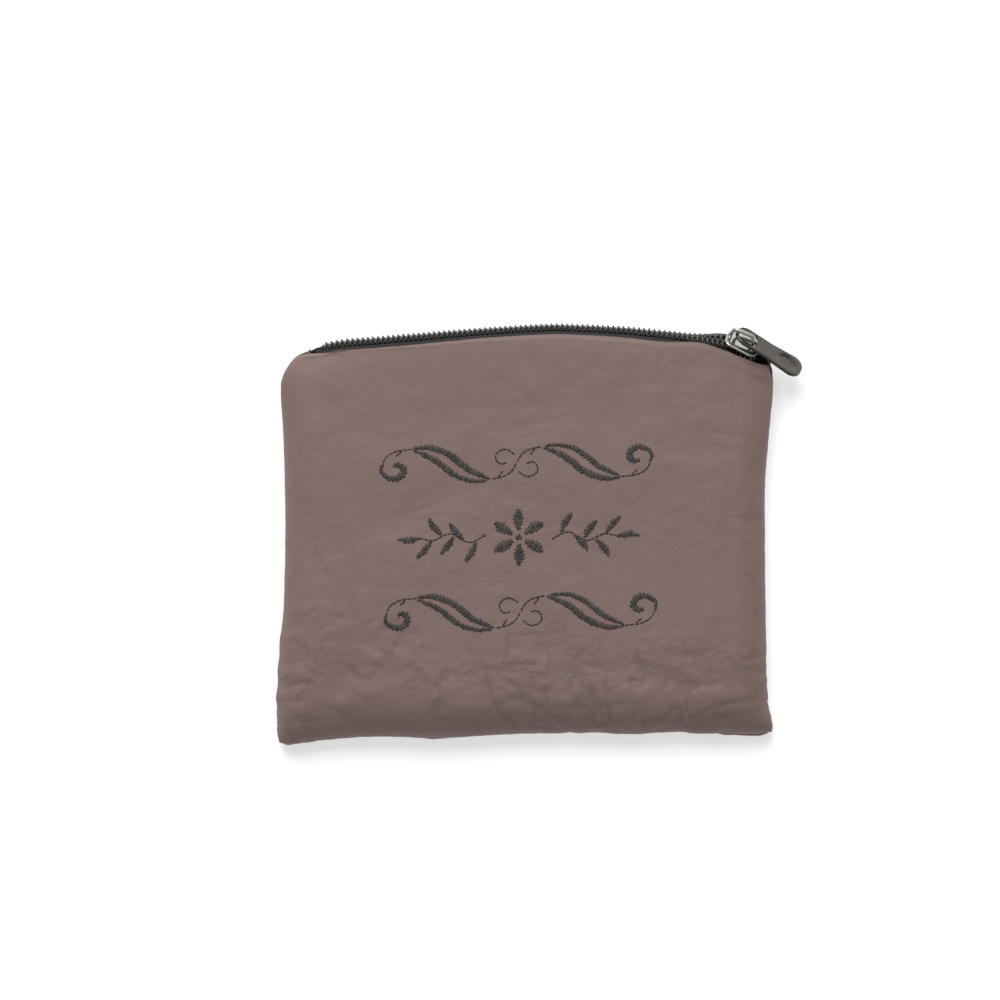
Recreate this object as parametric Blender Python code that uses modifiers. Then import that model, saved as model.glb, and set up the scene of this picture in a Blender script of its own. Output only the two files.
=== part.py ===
"""A zip coin purse of crinkled faux leather, lying on its back.

Two soft panels are sewn together round the sides and the bottom, and a coil zip closes the mouth.
+X runs along the zip to its closed end, +Y runs from the bottom seam to the mouth, +Z is up.
The origin lies on the flat middle of the back panel, on the surface that the purse rests on.
Sizes are in metres. Tables hold shares of the purse's width and height, angles in degrees.
"""

import math

import bmesh
import bpy
import numpy as np
from mathutils import Matrix, Vector

# The purse
PURSE_WIDTH = 0.125
PURSE_HEIGHT = 0.1025
PURSE_THICKNESS = 0.0138
WALL = 0.0010
GAP = 0.0003
SEAM_GAP = 0.0011

# Seams and rolled edges of the panels
SIDE_SEAM_HEIGHT = 0.0048
BOTTOM_SEAM_HEIGHT = 0.0032
SIDE_ROLL = 0.0080
BOTTOM_ROLL = 0.0105
MOUTH_ROLL = 0.0036
MOUTH_TURN = 0.0017
SEAM_TUCK_ANGLE = math.radians(0)
EDGE_FIT = 0.06
CORNER_FIT = 0.4
CORNER_LIFT = 0.0002
FLAT_RISE = 0.985
SIDE_BOW = 0.10
END_BOW = 0.05
BACK_LIFT = 0.00045
BACK_FLAT_SHARE = 0.62

# The zip
ZIP_HEIGHT = 0.0069
MOUTH_HALF = 0.0049
MOUTH_END_HALF = 0.0006
MOUTH_DROOP = 0.0010
DROOP_END_SHARE = 0.88
DROOP_FADE = 0.16
LEFT_END_EASE = 0.0085
RIGHT_END_EASE = 0.0045
TAPE = 0.0010
TAPE_SPLIT = 0.0009
TAPE_TUCK = 0.0055
TAPE_END_INSET = 0.0013
TAPE_TUCK_END_INSET = 0.0070
TAPE_BEND = 0.0009
TAPE_END_SLACK = 0.0014
TAPE_SLACK_REACH = 2.0
COIL_WIDTH = 0.0020
COIL_THICKNESS = 0.0014
COIL_PITCH = 0.00129
COIL_SPREAD = 0.00135

# The slider
SLIDER_SHARE = 0.930
SLIDER_LENGTH = 0.0087
SLIDER_NOSE_WIDTH = 0.0070
SLIDER_TAIL_WIDTH = 0.0065
PLATE = 0.0008
FLANGE = 0.0007
WEDGE_WIDTH = 0.0022
BRIDGE_BAR = 0.0011
BRIDGE_TAIL = -0.0036
BRIDGE_NOSE = 0.00235

# The pull tab
PULL_LENGTH = 0.0193
PULL_THICKNESS = 0.0009
PULL_EYE_WIDTH = 0.0064
PULL_WAIST_WIDTH = 0.0061
PULL_TIP_WIDTH = 0.0073
PULL_EYE_LENGTH = 0.0052
PULL_EYE_HOLE_WIDTH = 0.0038
PULL_EYE_HOLE_CORNER = 0.0008
PULL_BAR = 0.0010
PULL_SLOPE = math.radians(8.5)
PULL_PIVOT_ALONG = -0.0022
PULL_SIDEWAYS = 0.0008

# Panel grid: columns run from the left seam to the right one, rows from the bottom to the mouth
ROLL_STEPS = 5
MIDDLE_COLUMNS = 20
MIDDLE_ROWS = 14
MOUTH_STEPS = 3

# Outline of the seam, seen from above: x share of the width, y share of the height
LEFT_EDGE = (
    (-0.499, -0.507),
    (-0.501, -0.386),
    (-0.498, -0.275),
    (-0.490, -0.152),
    (-0.488, 0.057),
    (-0.492, 0.255),
    (-0.496, 0.348),
    (-0.490, 0.392),
    (-0.470, 0.427),
    (-0.447, 0.447),
    (-0.428, 0.457),
)
RIGHT_EDGE = (
    (0.496, -0.480),
    (0.493, -0.445),
    (0.486, -0.411),
    (0.484, -0.280),
    (0.482, -0.100),
    (0.482, 0.100),
    (0.488, 0.218),
    (0.496, 0.328),
    (0.498, 0.378),
    (0.494, 0.420),
)
BOTTOM_EDGE = (
    (-0.499, -0.507),
    (-0.478, -0.512),
    (-0.442, -0.504),
    (-0.366, -0.497),
    (-0.306, -0.492),
    (-0.185, -0.497),
    (-0.034, -0.487),
    (0.118, -0.482),
    (0.209, -0.487),
    (0.314, -0.482),
    (0.451, -0.487),
    (0.496, -0.480),
)

# Middle line of the zip: x share, y share, roll of its face up from the vertical in degrees
ZIP_LINE = (
    (-0.4360, 0.4414, 14.0),
    (-0.3720, 0.4570, 14.0),
    (-0.3060, 0.4639, 14.0),
    (-0.2150, 0.4736, 14.0),
    (-0.0940, 0.4859, 12.0),
    (0.0270, 0.4951, 12.0),
    (0.0880, 0.4956, 12.0),
    (0.2090, 0.4882, 14.0),
    (0.3200, 0.4731, 20.0),
    (0.3945, 0.4630, 40.0),
    (0.4310, 0.4447, 40.0),
    (0.4672, 0.4265, 40.0),
    (0.4870, 0.4145, 36.0),
)

# Flattened corners: across share, up share, radius, how much of the rise the front and back lose
CORNERS = (
    (0.0, 0.0, 0.017, 0.12, 0.12),
    (1.0, 0.0, 0.015, 0.10, 0.10),
    (0.0, 1.0, 0.012, 0.30, 0.0),
    (1.0, 1.0, 0.012, 0.46, 0.0),
)

# Dents and soft folds of the front: x share, y share, half length, half width, turn, depth
FRONT_DENTS = (
    (0.03, 0.30, 0.040, 0.011, 2.0, 0.00050),
    (-0.20, 0.07, 0.019, 0.005, 24.0, 0.00055),
    (-0.02, 0.02, 0.030, 0.015, -4.0, 0.00060),
    (0.34, 0.22, 0.007, 0.005, 0.0, 0.00050),
    (-0.42, -0.02, 0.006, 0.013, 18.0, 0.00050),
    (-0.33, -0.32, 0.017, 0.006, 38.0, 0.00060),
    (0.02, -0.24, 0.022, 0.005, -52.0, 0.00040),
    (0.28, -0.36, 0.020, 0.005, -9.0, 0.00055),
)

# Colours, roughness and metallic value of each material
FINISHES = {
    "leatherette": ((0.224, 0.159, 0.141), 0.55, 0.0),
    "zip_tape": ((0.034, 0.032, 0.031), 0.85, 0.0),
    "zip_coil": ((0.075, 0.070, 0.067), 0.45, 0.0),
    "slider_metal": ((0.420, 0.410, 0.400), 0.30, 1.0),
}


# Helpers

def smooth_step(value):
    """0 below 0, 1 above 1, and an S curve between."""
    value = np.clip(value, 0.0, 1.0)
    return value * value * (3.0 - 2.0 * value)


def through(points, shares):
    """Points of a smooth curve through the given points, at shares of its length."""
    points = np.array(points, float)
    ends = np.vstack([2 * points[0] - points[1], points, 2 * points[-1] - points[-2]])
    fine = []
    for before, start, end, after in zip(ends, ends[1:], ends[2:], ends[3:]):
        t = np.linspace(0.0, 1.0, 25)[:-1, None]
        fine.append(
            start
            + 0.5 * t * (end - before)
            + t**2 * (before - 2.5 * start + 2.0 * end - 0.5 * after)
            + t**3 * (1.5 * start - 0.5 * before - 1.5 * end + 0.5 * after)
        )
    fine = np.vstack([*fine, points[-1:]])
    steps = np.linalg.norm(np.diff(fine[:, :2], axis=0), axis=1)
    reached = np.concatenate([[0.0], np.cumsum(steps)]) / steps.sum()
    return np.stack([np.interp(shares, reached, column) for column in fine.T], axis=-1)


def to_size(rows):
    """A table's x and y shares made lengths; further columns stay as they are."""
    rows = np.array(rows, float)
    rows[:, 0] *= PURSE_WIDTH
    rows[:, 1] *= PURSE_HEIGHT
    return rows


def unit(vectors):
    return vectors / np.linalg.norm(vectors, axis=-1, keepdims=True)


def finish_of(name):
    colour, roughness, metallic = FINISHES[name]
    material = bpy.data.materials.get(name) or bpy.data.materials.new(name)
    material.use_nodes = True
    shader = material.node_tree.nodes["Principled BSDF"]
    shader.inputs["Base Color"].default_value = (*colour, 1.0)
    shader.inputs["Roughness"].default_value = roughness
    shader.inputs["Metallic"].default_value = metallic
    return material


def add_object(name, mesh, collection, finish=None):
    obj = bpy.data.objects.new(name, mesh)
    collection.objects.link(obj)
    if finish:
        mesh.materials.append(finish_of(finish))
    return obj


def sheet_object(name, points, collection, finish, faces_up=True):
    """A grid primitive whose corners are moved onto a table of points, columns by rows."""
    columns, rows = points.shape[:2]
    bm = bmesh.new()
    bmesh.ops.create_grid(bm, x_segments=columns - 1, y_segments=rows - 1, size=1.0)
    for vert in bm.verts:
        column = round((vert.co.x + 1.0) / 2.0 * (columns - 1))
        row = round((vert.co.y + 1.0) / 2.0 * (rows - 1))
        vert.co = points[column, row]
    if not faces_up:
        bmesh.ops.reverse_faces(bm, faces=bm.faces)
    mesh = bpy.data.meshes.new(name)
    bm.to_mesh(mesh)
    bm.free()
    mesh.shade_smooth()
    return add_object(name, mesh, collection, finish)


def thicken(obj, thickness, offset):
    wall = obj.modifiers.new("wall", "SOLIDIFY")
    wall.thickness = thickness
    wall.offset = offset


# The zip's line, which the panels, tapes, coils and slider all follow

ZIP_ROWS = to_size(ZIP_LINE)
ZIP_LENGTH = float(
    np.linalg.norm(np.diff(through(ZIP_ROWS, np.linspace(0, 1, 400))[:, :2], axis=0), axis=1).sum()
)


def zip_frame(shares):
    """Middle line of the zip with its directions: along, out of its face, and to the front."""
    shares = np.clip(np.asarray(shares, float), 0.0, 1.0)
    step = 0.002
    here = through(ZIP_ROWS, shares)
    before = through(ZIP_ROWS, np.clip(shares - step, 0, 1))
    after = through(ZIP_ROWS, np.clip(shares + step, 0, 1))
    along = after - before
    along[:, 2] = 0.0
    along = unit(along)
    away = np.stack([-along[:, 1], along[:, 0], 0.0 * shares], axis=-1)
    up = np.zeros_like(along)
    up[:, 2] = 1.0
    roll = np.radians(here[:, 2:3])
    out = away * np.cos(roll) + up * np.sin(roll)
    to_front = up * np.cos(roll) - away * np.sin(roll)
    middle = np.column_stack([here[:, :2], np.full(len(here), ZIP_HEIGHT)])
    return middle, along, out, to_front


def mouth_half(shares):
    """Half the height of the mouth: it closes in a round at both ends of the zip."""
    shares = np.asarray(shares, float)
    left = np.clip(shares * ZIP_LENGTH / LEFT_END_EASE, 0, 1)
    right = np.clip((1 - shares) * ZIP_LENGTH / RIGHT_END_EASE, 0, 1)
    open_share = np.sqrt(1 - (1 - left) ** 2) * np.sqrt(1 - (1 - right) ** 2)
    return MOUTH_END_HALF + (MOUTH_HALF - MOUTH_END_HALF) * open_share


def spread(shares):
    """How far each coil and tape edge moves aside, from the slider's middle to the zip's end."""
    past_middle = (np.asarray(shares, float) - SLIDER_SHARE) * ZIP_LENGTH
    start = -0.12 * SLIDER_LENGTH
    return COIL_SPREAD * smooth_step((past_middle - start) / (0.37 * SLIDER_LENGTH))


def droop(shares):
    """How far the tapes slope back from the coils at the mouth: not at all near the slider."""
    fade = smooth_step((DROOP_END_SHARE - np.asarray(shares, float)) / DROOP_FADE)
    return MOUTH_DROOP * fade * mouth_half(shares) / MOUTH_HALF


def mouth_edge(shares, side):
    """Outer edge line of a panel at the mouth: side 1 is the front panel, -1 the back one."""
    middle, _, out, to_front = zip_frame(shares)
    lift = (TAPE / 2 + GAP + WALL - droop(shares))[:, None]
    return middle + side * to_front * mouth_half(shares)[:, None] + out * lift


# The panels

def roll_shares(width, length, steps):
    """Shares of a length, and of the full rise, from a tucked seam up round a rolled edge."""
    angles = np.linspace(SEAM_TUCK_ANGLE, math.pi / 2, steps + 1)
    inset = width * (1 - np.cos(angles)) / length
    low = math.sin(SEAM_TUCK_ANGLE)
    return inset, (np.sin(angles) - low) / (1 - low)


def grid_lines():
    """Column and row shares of the panel grid, each with its share of the rise."""
    side, side_rise = roll_shares(SIDE_ROLL, PURSE_WIDTH, ROLL_STEPS)
    across = np.concatenate(
        [side, np.linspace(side[-1], 1 - side[-1], MIDDLE_COLUMNS + 1)[1:-1], (1 - side)[::-1]]
    )
    across_rise = np.concatenate([side_rise, np.ones(MIDDLE_COLUMNS - 1), side_rise[::-1]])
    low, low_rise = roll_shares(BOTTOM_ROLL, PURSE_HEIGHT, ROLL_STEPS)
    high = np.linspace(1 - MOUTH_ROLL / PURSE_HEIGHT, 1.0, MOUTH_STEPS + 1)
    upward = np.concatenate([low, np.linspace(low[-1], high[0], MIDDLE_ROWS + 1)[1:-1], high])
    upward_rise = np.concatenate([low_rise, np.ones(MIDDLE_ROWS + MOUTH_STEPS)])
    return across, across_rise, upward, upward_rise


def blended(left, right, low, high, across, upward):
    """A surface between four edge curves: the sides joined by straight lines, and bent to the ends."""
    s = across[:, None, None]
    t = upward[None, :, None]
    sides = left[None, :, :] * (1 - s) + right[None, :, :] * s
    bend_low = low[:, None, :] - (left[0] * (1 - s) + right[0] * s)
    bend_high = high[:, None, :] - (left[-1] * (1 - s) + right[-1] * s)
    near_mouth = smooth_step((t - 1 + EDGE_FIT) / EDGE_FIT)
    reach = np.concatenate([t, t, near_mouth], axis=2)
    return sides + bend_low * (1 - t) + bend_high * reach


def edge_curves(across, upward, side):
    """The four edges of a panel with their heights, the mouth's ends meeting the side seams."""
    high = mouth_edge(across, side)
    left = np.column_stack([through(to_size(LEFT_EDGE), upward), seam_height(upward, side)])
    right = np.column_stack([through(to_size(RIGHT_EDGE), upward), seam_height(upward, side)])
    low = np.column_stack(
        [through(to_size(BOTTOM_EDGE), across), np.full(len(across), BOTTOM_SEAM_HEIGHT + side * SEAM_GAP / 2)]
    )
    reach = smooth_step((upward - 1 + EDGE_FIT) / EDGE_FIT)[:, None]
    left = left + (mouth_edge([0.0], side)[0] - left[-1]) * reach
    right = right + (mouth_edge([1.0], side)[0] - right[-1]) * reach
    return left, right, low, high


def seam_height(upward, side):
    """The side seams climb from the bottom corners to the zip's level."""
    lower = BOTTOM_SEAM_HEIGHT + (SIDE_SEAM_HEIGHT - BOTTOM_SEAM_HEIGHT) * smooth_step(upward / 0.35)
    upper = (ZIP_HEIGHT - SIDE_SEAM_HEIGHT) * smooth_step((upward - 0.7) / 0.3)
    return lower + upper + side * SEAM_GAP / 2


def corner_share(across, upward, side):
    """1 over most of a panel, less at the flattened corners."""
    share = np.ones((len(across), len(upward)))
    for column, row, radius, front, back in CORNERS:
        flattened = front if side > 0 else back
        x = (across[:, None] - column) * PURSE_WIDTH
        y = (upward[None, :] - row) * PURSE_HEIGHT
        share = share * (1 - flattened * np.exp(-(x * x + y * y) / radius**2))
    return share


def met(one, other):
    """Two rises met at a corner: each alone where the other is whole, and less where both are low."""
    return one * other / np.maximum(one + other - one * other, 1e-9)


def dents(x, y, rows):
    """Depth of all dents at each point: long soft hollows, turned in the plane."""
    depth = np.zeros_like(x)
    for at_x, at_y, length, width, turn, deep in rows:
        turn = math.radians(turn)
        dx = x - at_x * PURSE_WIDTH
        dy = y - at_y * PURSE_HEIGHT
        along = (dx * math.cos(turn) + dy * math.sin(turn)) / length
        beside = (dy * math.cos(turn) - dx * math.sin(turn)) / width
        depth += deep * np.exp(-(along**2) - beside**2)
    return depth


def panel_points(across, across_rise, upward, upward_rise, side):
    """Outer surface of a panel: the edges' own heights, lifted to the crown or let down flat."""
    left, right, low, high = edge_curves(across, upward, side)
    points = blended(left, right, low, high, across, upward)
    rise = met(across_rise[:, None], upward_rise[None, :]) * corner_share(across, upward, side)
    if side > 0:
        bow = np.abs(2 * across[:, None] - 1) ** 2.5
        slope = np.abs(2 * upward[None, :] - 1) ** 3
        crown = PURSE_THICKNESS * (1 - SIDE_BOW * bow - END_BOW * slope)
        crown = crown - dents(points[..., 0], points[..., 1], FRONT_DENTS)
        points[..., 2] += (crown - points[..., 2]) * rise
    else:
        flat = np.minimum(rise / FLAT_RISE, 1.0)
        reach = np.hypot(2 * across[:, None] - 1, 2 * upward[None, :] - 1)
        lifted = BACK_LIFT * smooth_step((reach - BACK_FLAT_SHARE) / (1 - BACK_FLAT_SHARE))
        points[..., 2] += (lifted - points[..., 2]) * flat
    turn_in_mouth(points, across, side)
    for column, row, beside, above in ((0, 0, 1, 1), (-1, 0, -2, 1)):
        between = 0.5 * (points[beside, row] + points[column, above])
        points[column, row] = CORNER_FIT * between + (1 - CORNER_FIT) * points[column, row]
        for at in ((column, row), (beside, row), (column, above)):
            points[at][2] += side * CORNER_LIFT
    return points


def turn_in_mouth(points, across, side):
    """Carries the last rows of a panel round to lie along the zip's tape, as a smooth bend."""
    start = points[:, -1 - MOUTH_STEPS]
    end = mouth_edge(across, side)
    level = end - start
    level[:, 2] = 0.0
    _, _, out, to_front = zip_frame(across)
    fall = (droop(across) / mouth_half(across))[:, None]
    turn = (side * to_front - out * fall) * (MOUTH_TURN * mouth_half(across) / MOUTH_HALF)[:, None]
    for step in range(1, MOUTH_STEPS + 1):
        t = step / MOUTH_STEPS
        points[:, step - 1 - MOUTH_STEPS] = (
            (1 - t) ** 3 * start
            + 3 * (1 - t) ** 2 * t * (start + 0.7 * level)
            + 3 * (1 - t) * t**2 * (end + turn)
            + t**3 * end
        )


def make_panel(name, side, collection):
    points = panel_points(*grid_lines(), side)
    panel = sheet_object(name, points, collection, "leatherette", faces_up=side > 0)
    thicken(panel, WALL, -1.0)
    return panel


# The zip's tapes and coils

def panel_normals(points, side):
    across = np.gradient(points, axis=0)
    upward = np.gradient(points, axis=1)
    return unit(np.cross(across, upward)) * side


def tape_slack(shares):
    """Extra room that a tape keeps from its panel near both ends of the zip."""
    left = shares * ZIP_LENGTH / (TAPE_SLACK_REACH * LEFT_END_EASE)
    right = (1 - shares) * ZIP_LENGTH / (TAPE_SLACK_REACH * RIGHT_END_EASE)
    return TAPE_END_SLACK * (1 - smooth_step(np.minimum(left, right)))


def tape_points(side):
    """Middle sheet of one tape: tucked under its panel, out at the mouth and down to the coil."""
    across, across_rise, upward, upward_rise = grid_lines()
    surface = panel_points(across, across_rise, upward, upward_rise, side)
    depth = (WALL + GAP + TAPE / 2 + tape_slack(across))[:, None, None]
    inner = surface - panel_normals(surface, side) * depth
    near = (1 - upward) * PURSE_HEIGHT <= TAPE_TUCK + MOUTH_ROLL
    near[-MOUTH_STEPS:] = False
    inner_rows = inner[:, near]
    end = TAPE_END_INSET / ZIP_LENGTH
    deep_end = TAPE_TUCK_END_INSET / ZIP_LENGTH
    inside = across[(across > 1.2 * end) & (across < 1 - 1.2 * end)]
    shares = np.concatenate([[end], inside, [1 - end]])
    kept = np.where(shares < deep_end, 0.75 * deep_end + 0.25 * shares, shares)
    kept = np.where(shares > 1 - deep_end, 1 - 0.75 * deep_end - 0.25 * (1 - shares), kept)
    order = np.argsort(across)
    hidden = []
    for row in range(inner_rows.shape[1]):
        line = inner_rows[order, row]
        hidden.append(np.stack([np.interp(kept, across[order], column) for column in line.T], -1))
    middle, _, out, to_front = zip_frame(shares)
    high = (mouth_half(shares) - tape_slack(shares))[:, None]
    low = np.minimum((TAPE_SPLIT / 2 + spread(shares))[:, None], high - 1.3 * TAPE_BEND)
    back = droop(shares)[:, None]
    bend = middle + side * to_front * (high - 0.3 * TAPE_BEND) - out * (0.15 * TAPE_BEND + back)
    edge = middle + side * to_front * (high - TAPE_BEND) - out * back * (1 - TAPE_BEND / high)
    coil = middle + side * to_front * low
    rows = hidden + [bend, edge, 0.5 * (edge + coil), coil]
    return np.stack(rows, axis=1)


def make_tape(name, side, collection):
    tape = sheet_object(name, tape_points(side), collection, "zip_tape", faces_up=side > 0)
    thicken(tape, TAPE, 0.0)
    return tape


def coil_lift():
    return TAPE / 2 + GAP


def make_coil(name, side, collection):
    """One row of teeth: a bar on the tape's edge whose section swells once a tooth."""
    start = 2.2 * TAPE_END_INSET / ZIP_LENGTH
    end = SLIDER_SHARE + (SLIDER_LENGTH / 2 + GAP) / ZIP_LENGTH
    teeth = round((end - start) * ZIP_LENGTH / COIL_PITCH)
    shares = np.linspace(start, end, 2 * teeth + 1)
    middle, _, out, to_front = zip_frame(shares)
    inner = GAP / 2 + spread(shares)
    outer = inner + COIL_WIDTH
    room = mouth_half(shares) - GAP
    outer = np.minimum(outer, np.maximum(room, inner + COIL_WIDTH / 2))
    low = np.full(len(shares), coil_lift())
    high = low + COIL_THICKNESS * np.where(np.arange(len(shares)) % 2, 1.0, 0.72)
    corners = ((inner, low), (outer, low), (outer - 0.2 * COIL_WIDTH, high), (inner, high))
    rings = np.stack(
        [
            middle + side * to_front * beside[:, None] + out * above[:, None]
            for beside, above in corners
        ],
        axis=1,
    )
    return loft(name, rings if side > 0 else rings[:, ::-1], collection, "zip_coil")


def loft(name, rings, collection, finish):
    """Closed skin over a row of unlike sections, with a face on each end."""
    bm = bmesh.new()
    made = [[bm.verts.new(point) for point in ring] for ring in rings]
    count = len(made[0])
    for ring, following in zip(made, made[1:]):
        for i in range(count):
            j = (i + 1) % count
            bm.faces.new((ring[i], ring[j], following[j], following[i]))
    bm.faces.new(made[0][::-1])
    bm.faces.new(made[-1])
    bmesh.ops.recalc_face_normals(bm, faces=bm.faces)
    mesh = bpy.data.meshes.new(name)
    bm.to_mesh(mesh)
    bm.free()
    return add_object(name, mesh, collection, finish)


# The slider and its pull, built flat and then turned onto the zip

def slider_place():
    """Matrix of the slider: x along the zip, y to the back panel, z out of the zip's face."""
    middle, along, out, to_front = (row[0] for row in zip_frame([SLIDER_SHARE]))
    return Matrix(
        (
            (along[0], -to_front[0], out[0], middle[0]),
            (along[1], -to_front[1], out[1], middle[1]),
            (along[2], -to_front[2], out[2], middle[2]),
            (0.0, 0.0, 0.0, 1.0),
        )
    )


def slab(name, outline, low, high, collection, round_edge=0.0):
    """A flat outline as a 2D curve, given its thickness and made a closed mesh."""
    curve = bpy.data.curves.new(name, "CURVE")
    curve.dimensions = "2D"
    curve.fill_mode = "BOTH"
    curve.extrude = (high - low) / 2 - round_edge
    curve.bevel_depth = round_edge
    curve.bevel_resolution = 1
    curve.offset = -round_edge
    for loop in outline:
        spline = curve.splines.new("POLY")
        spline.points.add(len(loop) - 1)
        for point, (x, y) in zip(spline.points, loop):
            point.co = (x, y, 0.0, 1.0)
        spline.use_cyclic_u = True
    made = bpy.data.objects.new(name + "_outline", curve)
    collection.objects.link(made)
    obj = curve_to_mesh(made, name, collection)
    for vert in obj.data.vertices:
        vert.co.z += (low + high) / 2
    return obj


def curve_to_mesh(made, name, collection):
    bpy.context.view_layer.update()
    graph = bpy.context.evaluated_depsgraph_get()
    mesh = bpy.data.meshes.new_from_object(made.evaluated_get(graph))
    bm = bmesh.new()
    bm.from_mesh(mesh)
    bmesh.ops.remove_doubles(bm, verts=bm.verts, dist=1e-6)
    bmesh.ops.recalc_face_normals(bm, faces=bm.faces)
    bm.to_mesh(mesh)
    bm.free()
    bpy.data.objects.remove(made)
    mesh.name = name
    return add_object(name, mesh, collection)


def join_to(body, piece, helpers):
    union = body.modifiers.new("join_" + piece.name, "BOOLEAN")
    union.operation = "UNION"
    union.object = piece
    piece.hide_render = True
    piece.display_type = "WIRE"
    for collection in piece.users_collection:
        collection.objects.unlink(piece)
    helpers.objects.link(piece)


def rounded_plate(corner):
    """Outline of a slider plate: narrow at the tail, wide at the nose, with round corners."""
    half = SLIDER_LENGTH / 2
    corners = (
        (-half, -SLIDER_TAIL_WIDTH / 2),
        (half, -SLIDER_NOSE_WIDTH / 2),
        (half, SLIDER_NOSE_WIDTH / 2),
        (-half, SLIDER_TAIL_WIDTH / 2),
    )
    points = []
    for x, y in corners:
        middle = (x - math.copysign(corner, x), y - math.copysign(corner, y))
        start = math.atan2(math.copysign(1, y), math.copysign(1, x)) - math.pi / 4
        for step in range(4):
            angle = start + step * math.pi / 6
            points.append((middle[0] + corner * math.cos(angle), middle[1] + corner * math.sin(angle)))
    return points


def plate_levels():
    """Heights of the slider's plates: over the coils, and under the tapes."""
    top = coil_lift() + COIL_THICKNESS + GAP
    return top, top + PLATE, -TAPE / 2 - GAP - PLATE, -TAPE / 2 - GAP


def make_slider(collection, helpers):
    top_low, top_high, under_low, under_high = plate_levels()
    outline = rounded_plate(0.0016)
    slider = slab("slider", [outline], top_low, top_high, collection, 0.00022)
    under = slab("slider_under_plate", [outline], under_low, under_high, collection, 0.0002)
    wedge = slab("slider_wedge", [wedge_outline()], under_low + PLATE / 2, top_high - PLATE / 2, collection)
    pieces = [wedge, under]
    outer = SLIDER_TAIL_WIDTH / 2 - 0.0001
    for sign, label in ((1, "back"), (-1, "front")):
        wide = [outer - FLANGE, outer]
        ends = (-SLIDER_LENGTH / 2 + 0.0009, -0.14 * SLIDER_LENGTH)
        box = [(ends[0], sign * wide[0]), (ends[1], sign * wide[0])]
        box += [(ends[1], sign * wide[1]), (ends[0], sign * wide[1])]
        flange = slab("slider_flange_" + label, [box], TAPE / 2 + GAP, top_low + PLATE / 2, collection)
        pieces.append(flange)
    pieces.append(make_bridge(collection))
    for piece in pieces:
        join_to(slider, piece, helpers)
        piece.matrix_world = slider_place()
    slider.matrix_world = slider_place()
    slider.data.materials.append(finish_of("slider_metal"))
    return slider


def wedge_outline():
    """The slider's divider between the two rows of teeth, pointed to the tail."""
    half = SLIDER_LENGTH / 2
    return [
        (0.12 * half, 0.0),
        (0.60 * half, -WEDGE_WIDTH / 2),
        (0.92 * half, -WEDGE_WIDTH / 2.6),
        (0.92 * half, WEDGE_WIDTH / 2.6),
        (0.60 * half, WEDGE_WIDTH / 2),
    ]


def bridge_top():
    """Height of the bridge's middle line: the pull's bar passes under it with a small gap."""
    return pivot_height() + PULL_THICKNESS / 2 + GAP + BRIDGE_BAR / 2


def pivot_height():
    """Height of the pull's pivot: its slope carries it just over the plate's nose."""
    reach = SLIDER_LENGTH / 2 - PULL_PIVOT_ALONG
    over_nose = plate_levels()[1] + GAP + PULL_THICKNESS / 2 / math.cos(PULL_SLOPE)
    return over_nose + reach * math.tan(PULL_SLOPE)


def make_bridge(collection):
    """The bridge bar over the top plate, from tail to nose, with round shoulders."""
    foot = plate_levels()[1] - PLATE / 2
    top = bridge_top()
    shoulder = 0.0011
    points = [(BRIDGE_TAIL, foot)]
    for middle, start in (
        ((BRIDGE_TAIL + shoulder, top - shoulder), math.pi),
        ((BRIDGE_NOSE - shoulder, top - shoulder), math.pi / 2),
    ):
        for step in range(4):
            angle = start - step * math.pi / 6
            points.append((middle[0] + shoulder * math.cos(angle), middle[1] + shoulder * math.sin(angle)))
    points.append((BRIDGE_NOSE, foot))
    curve = bpy.data.curves.new("slider_bridge", "CURVE")
    curve.dimensions = "3D"
    curve.bevel_depth = BRIDGE_BAR / 2
    curve.bevel_resolution = 1
    curve.use_fill_caps = True
    spline = curve.splines.new("POLY")
    spline.points.add(len(points) - 1)
    for point, (x, z) in zip(spline.points, points):
        point.co = (x, 0.0, z, 1.0)
    made = bpy.data.objects.new("slider_bridge_line", curve)
    collection.objects.link(made)
    return curve_to_mesh(made, "slider_bridge", collection)


def arc(centre, radius_x, radius_y, start, end, steps):
    angles = np.radians(np.linspace(start, end, steps + 1))
    return [(centre[0] + radius_x * math.cos(a), centre[1] + radius_y * math.sin(a)) for a in angles]


def pull_outlines():
    """Outline of the pull tab and of the eye in it, with the pivot bar's middle at the origin."""
    back = -PULL_BAR / 2
    tip = back + PULL_LENGTH
    eye_half = PULL_EYE_WIDTH / 2
    tip_corner = 0.40 * PULL_TIP_WIDTH
    waist = back + 0.50 * PULL_LENGTH
    outline = arc((back + eye_half, 0.0), eye_half, eye_half, 90, 270, 10)
    outline += [(waist, -PULL_WAIST_WIDTH / 2)]
    outline += arc(
        (tip - tip_corner, -PULL_TIP_WIDTH / 2 + tip_corner), tip_corner, tip_corner, -90, 0, 4
    )
    outline += arc(
        (tip - tip_corner, PULL_TIP_WIDTH / 2 - tip_corner), tip_corner, tip_corner, 0, 90, 4
    )
    outline += [(waist, PULL_WAIST_WIDTH / 2)]
    corner = PULL_EYE_HOLE_CORNER
    beside = PULL_EYE_HOLE_WIDTH / 2 - corner
    start = PULL_BAR / 2 + corner
    end = PULL_BAR / 2 + PULL_EYE_LENGTH - corner
    hole = []
    for x, y, first in ((start, beside, 90), (start, -beside, 180), (end, -beside, 270), (end, beside, 0)):
        hole += arc((x, y), corner, corner, first, first + 90, 3)
    return [outline, hole]


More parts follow.
